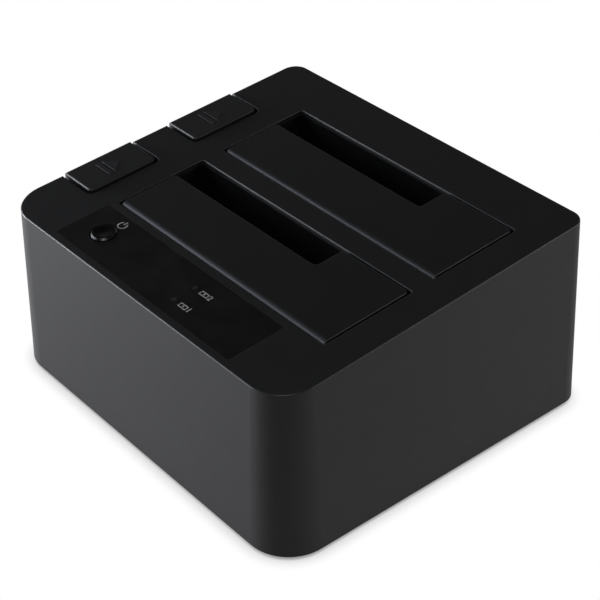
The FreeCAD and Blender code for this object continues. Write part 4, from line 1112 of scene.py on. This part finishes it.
def sweep(floor_radius, bend, wall_top, around=96, steps=12):
    """Spin a profile of floor, quarter bend and wall round the middle."""
    profile = [(floor_radius, 0.0)]
    for i in range(1, steps + 1):
        turn = math.pi / 2 * i / steps
        profile.append((floor_radius + bend * math.sin(turn), bend * (1 - math.cos(turn))))
    profile.append((floor_radius + bend, wall_top))
    mesh = bmesh.new()
    rings = [[mesh.verts.new(point) for point in ring_of(*level, around)] for level in profile]
    mesh.faces.new(rings[0])
    for face in walls(mesh, rings):
        face.smooth = True
    sheet = put_in_scene("sweep", mesh_data("sweep", mesh))
    sheet.data.materials.append(sweep_material())
    print(f"sweep: {sheet.dimensions.x:.1f} m across, finish {listed(sheet.data.materials[0])}")


sweep(floor_radius=2.6, bend=0.4, wall_top=0.9)

# %% [markdown]
# Two long soft boxes stand almost on the floor, one at the left of the front and one behind the
# right side. The front and the right side come out grey, and the corner between them, which faces
# neither, falls dark. They hardly reach the lid, which stays black under a weak ceiling. Three cards
# hang higher and are left out of diffuse light. They are there for the gloss: each rounded edge on
# the lid mirrors one of them as a thin bright line.

# %% Lamps
WHITE, FAINT_BLUE, COOL = (1, 1, 1), (0.93, 0.945, 1.0), (0.80, 0.87, 1.0)
dock_centre = (cad_box[0] + cad_box[1]) / 2


def soft_box(name, place, size, watts, tint=WHITE, gloss_only=False):
    """A flat lamp, in metres, that faces the middle of the dock."""
    lamp_data = bpy.data.lights.new(name, "AREA")
    lamp_data.shape = "RECTANGLE"
    lamp_data.size, lamp_data.size_y = size
    lamp_data.energy, lamp_data.color = watts, tint
    box = put_in_scene(name, lamp_data)
    box.location = place
    box.rotation_euler = (dock_centre - Vector(place)).to_track_quat("-Z", "Y").to_euler()
    box.visible_diffuse = not gloss_only
    print(f"{name}: {watts} W, {size[0]} x {size[1]} m")


soft_box("left_box", place=(-0.70, -0.44, 0.05), size=(0.4, 0.09), watts=16.6, tint=FAINT_BLUE)
soft_box("right_box", place=(0.62, 0.50, 0.05), size=(0.5, 0.09), watts=2.3)
soft_box("ceiling", place=(0.0, 0.2, 1.4), size=(0.8, 0.8), watts=1.4)
soft_box("left_card", place=(-0.59, -0.52, 0.40), size=(0.5, 0.34), watts=6.5, tint=COOL, gloss_only=True)
soft_box("front_card", place=(0.42, -0.52, 0.70), size=(0.35, 0.3), watts=8.0, gloss_only=True)
soft_box("right_card", place=(0.62, 0.50, 0.45), size=(0.4, 0.2), watts=4.0, gloss_only=True)

# %% [markdown]
# A dim room fills in from every side what the lamps leave out. The colours are shown with no film
# curve over them, so that black plastic stays as dark as it is.

# %% Room and film
ROOM_LEVEL = 0.036

world = bpy.data.worlds.new("studio")
bpy.context.scene.world = world
world.use_nodes = True
world.node_tree.nodes["Background"].inputs["Color"].default_value = (ROOM_LEVEL, ROOM_LEVEL, ROOM_LEVEL, 1)
bpy.context.scene.view_settings.view_transform = "Standard"
print("room:", ROOM_LEVEL, "film:", bpy.context.scene.view_settings.view_transform)

# %% [markdown]
# ## Camera
#
# The camera looks down at the front-right corner from about half a metre, through a long lens. A long
# lens keeps the upright edges nearly parallel, as in a catalogue picture.

# %% Camera
CAMERA_PLACE = mm(347.885, -278.879, 344.463)
AZIMUTH, ELEVATION, ROLL = (math.radians(angle) for angle in (50.90, 35.16, -1.19))
SENSOR_MM, LENS_MM = 36.0, 97.94
NEAR, FAR = 0.01, 20

camera_data = bpy.data.cameras.new("camera")
camera_data.sensor_width, camera_data.lens = SENSOR_MM, LENS_MM
camera_data.clip_start, camera_data.clip_end = NEAR, FAR
camera = put_in_scene("camera", camera_data)
level = math.cos(ELEVATION)
back = Vector((math.sin(AZIMUTH) * level, -math.cos(AZIMUTH) * level, math.sin(ELEVATION)))
aim = back.to_track_quat("Z", "Y").to_matrix() @ Matrix.Rotation(ROLL, 3, "Z")
camera.matrix_world = Matrix.Translation(CAMERA_PLACE) @ aim.to_4x4()
bpy.context.scene.camera = camera
print(f"camera: {(CAMERA_PLACE - dock_centre).length:.2f} m from the dock, lens {LENS_MM} mm")
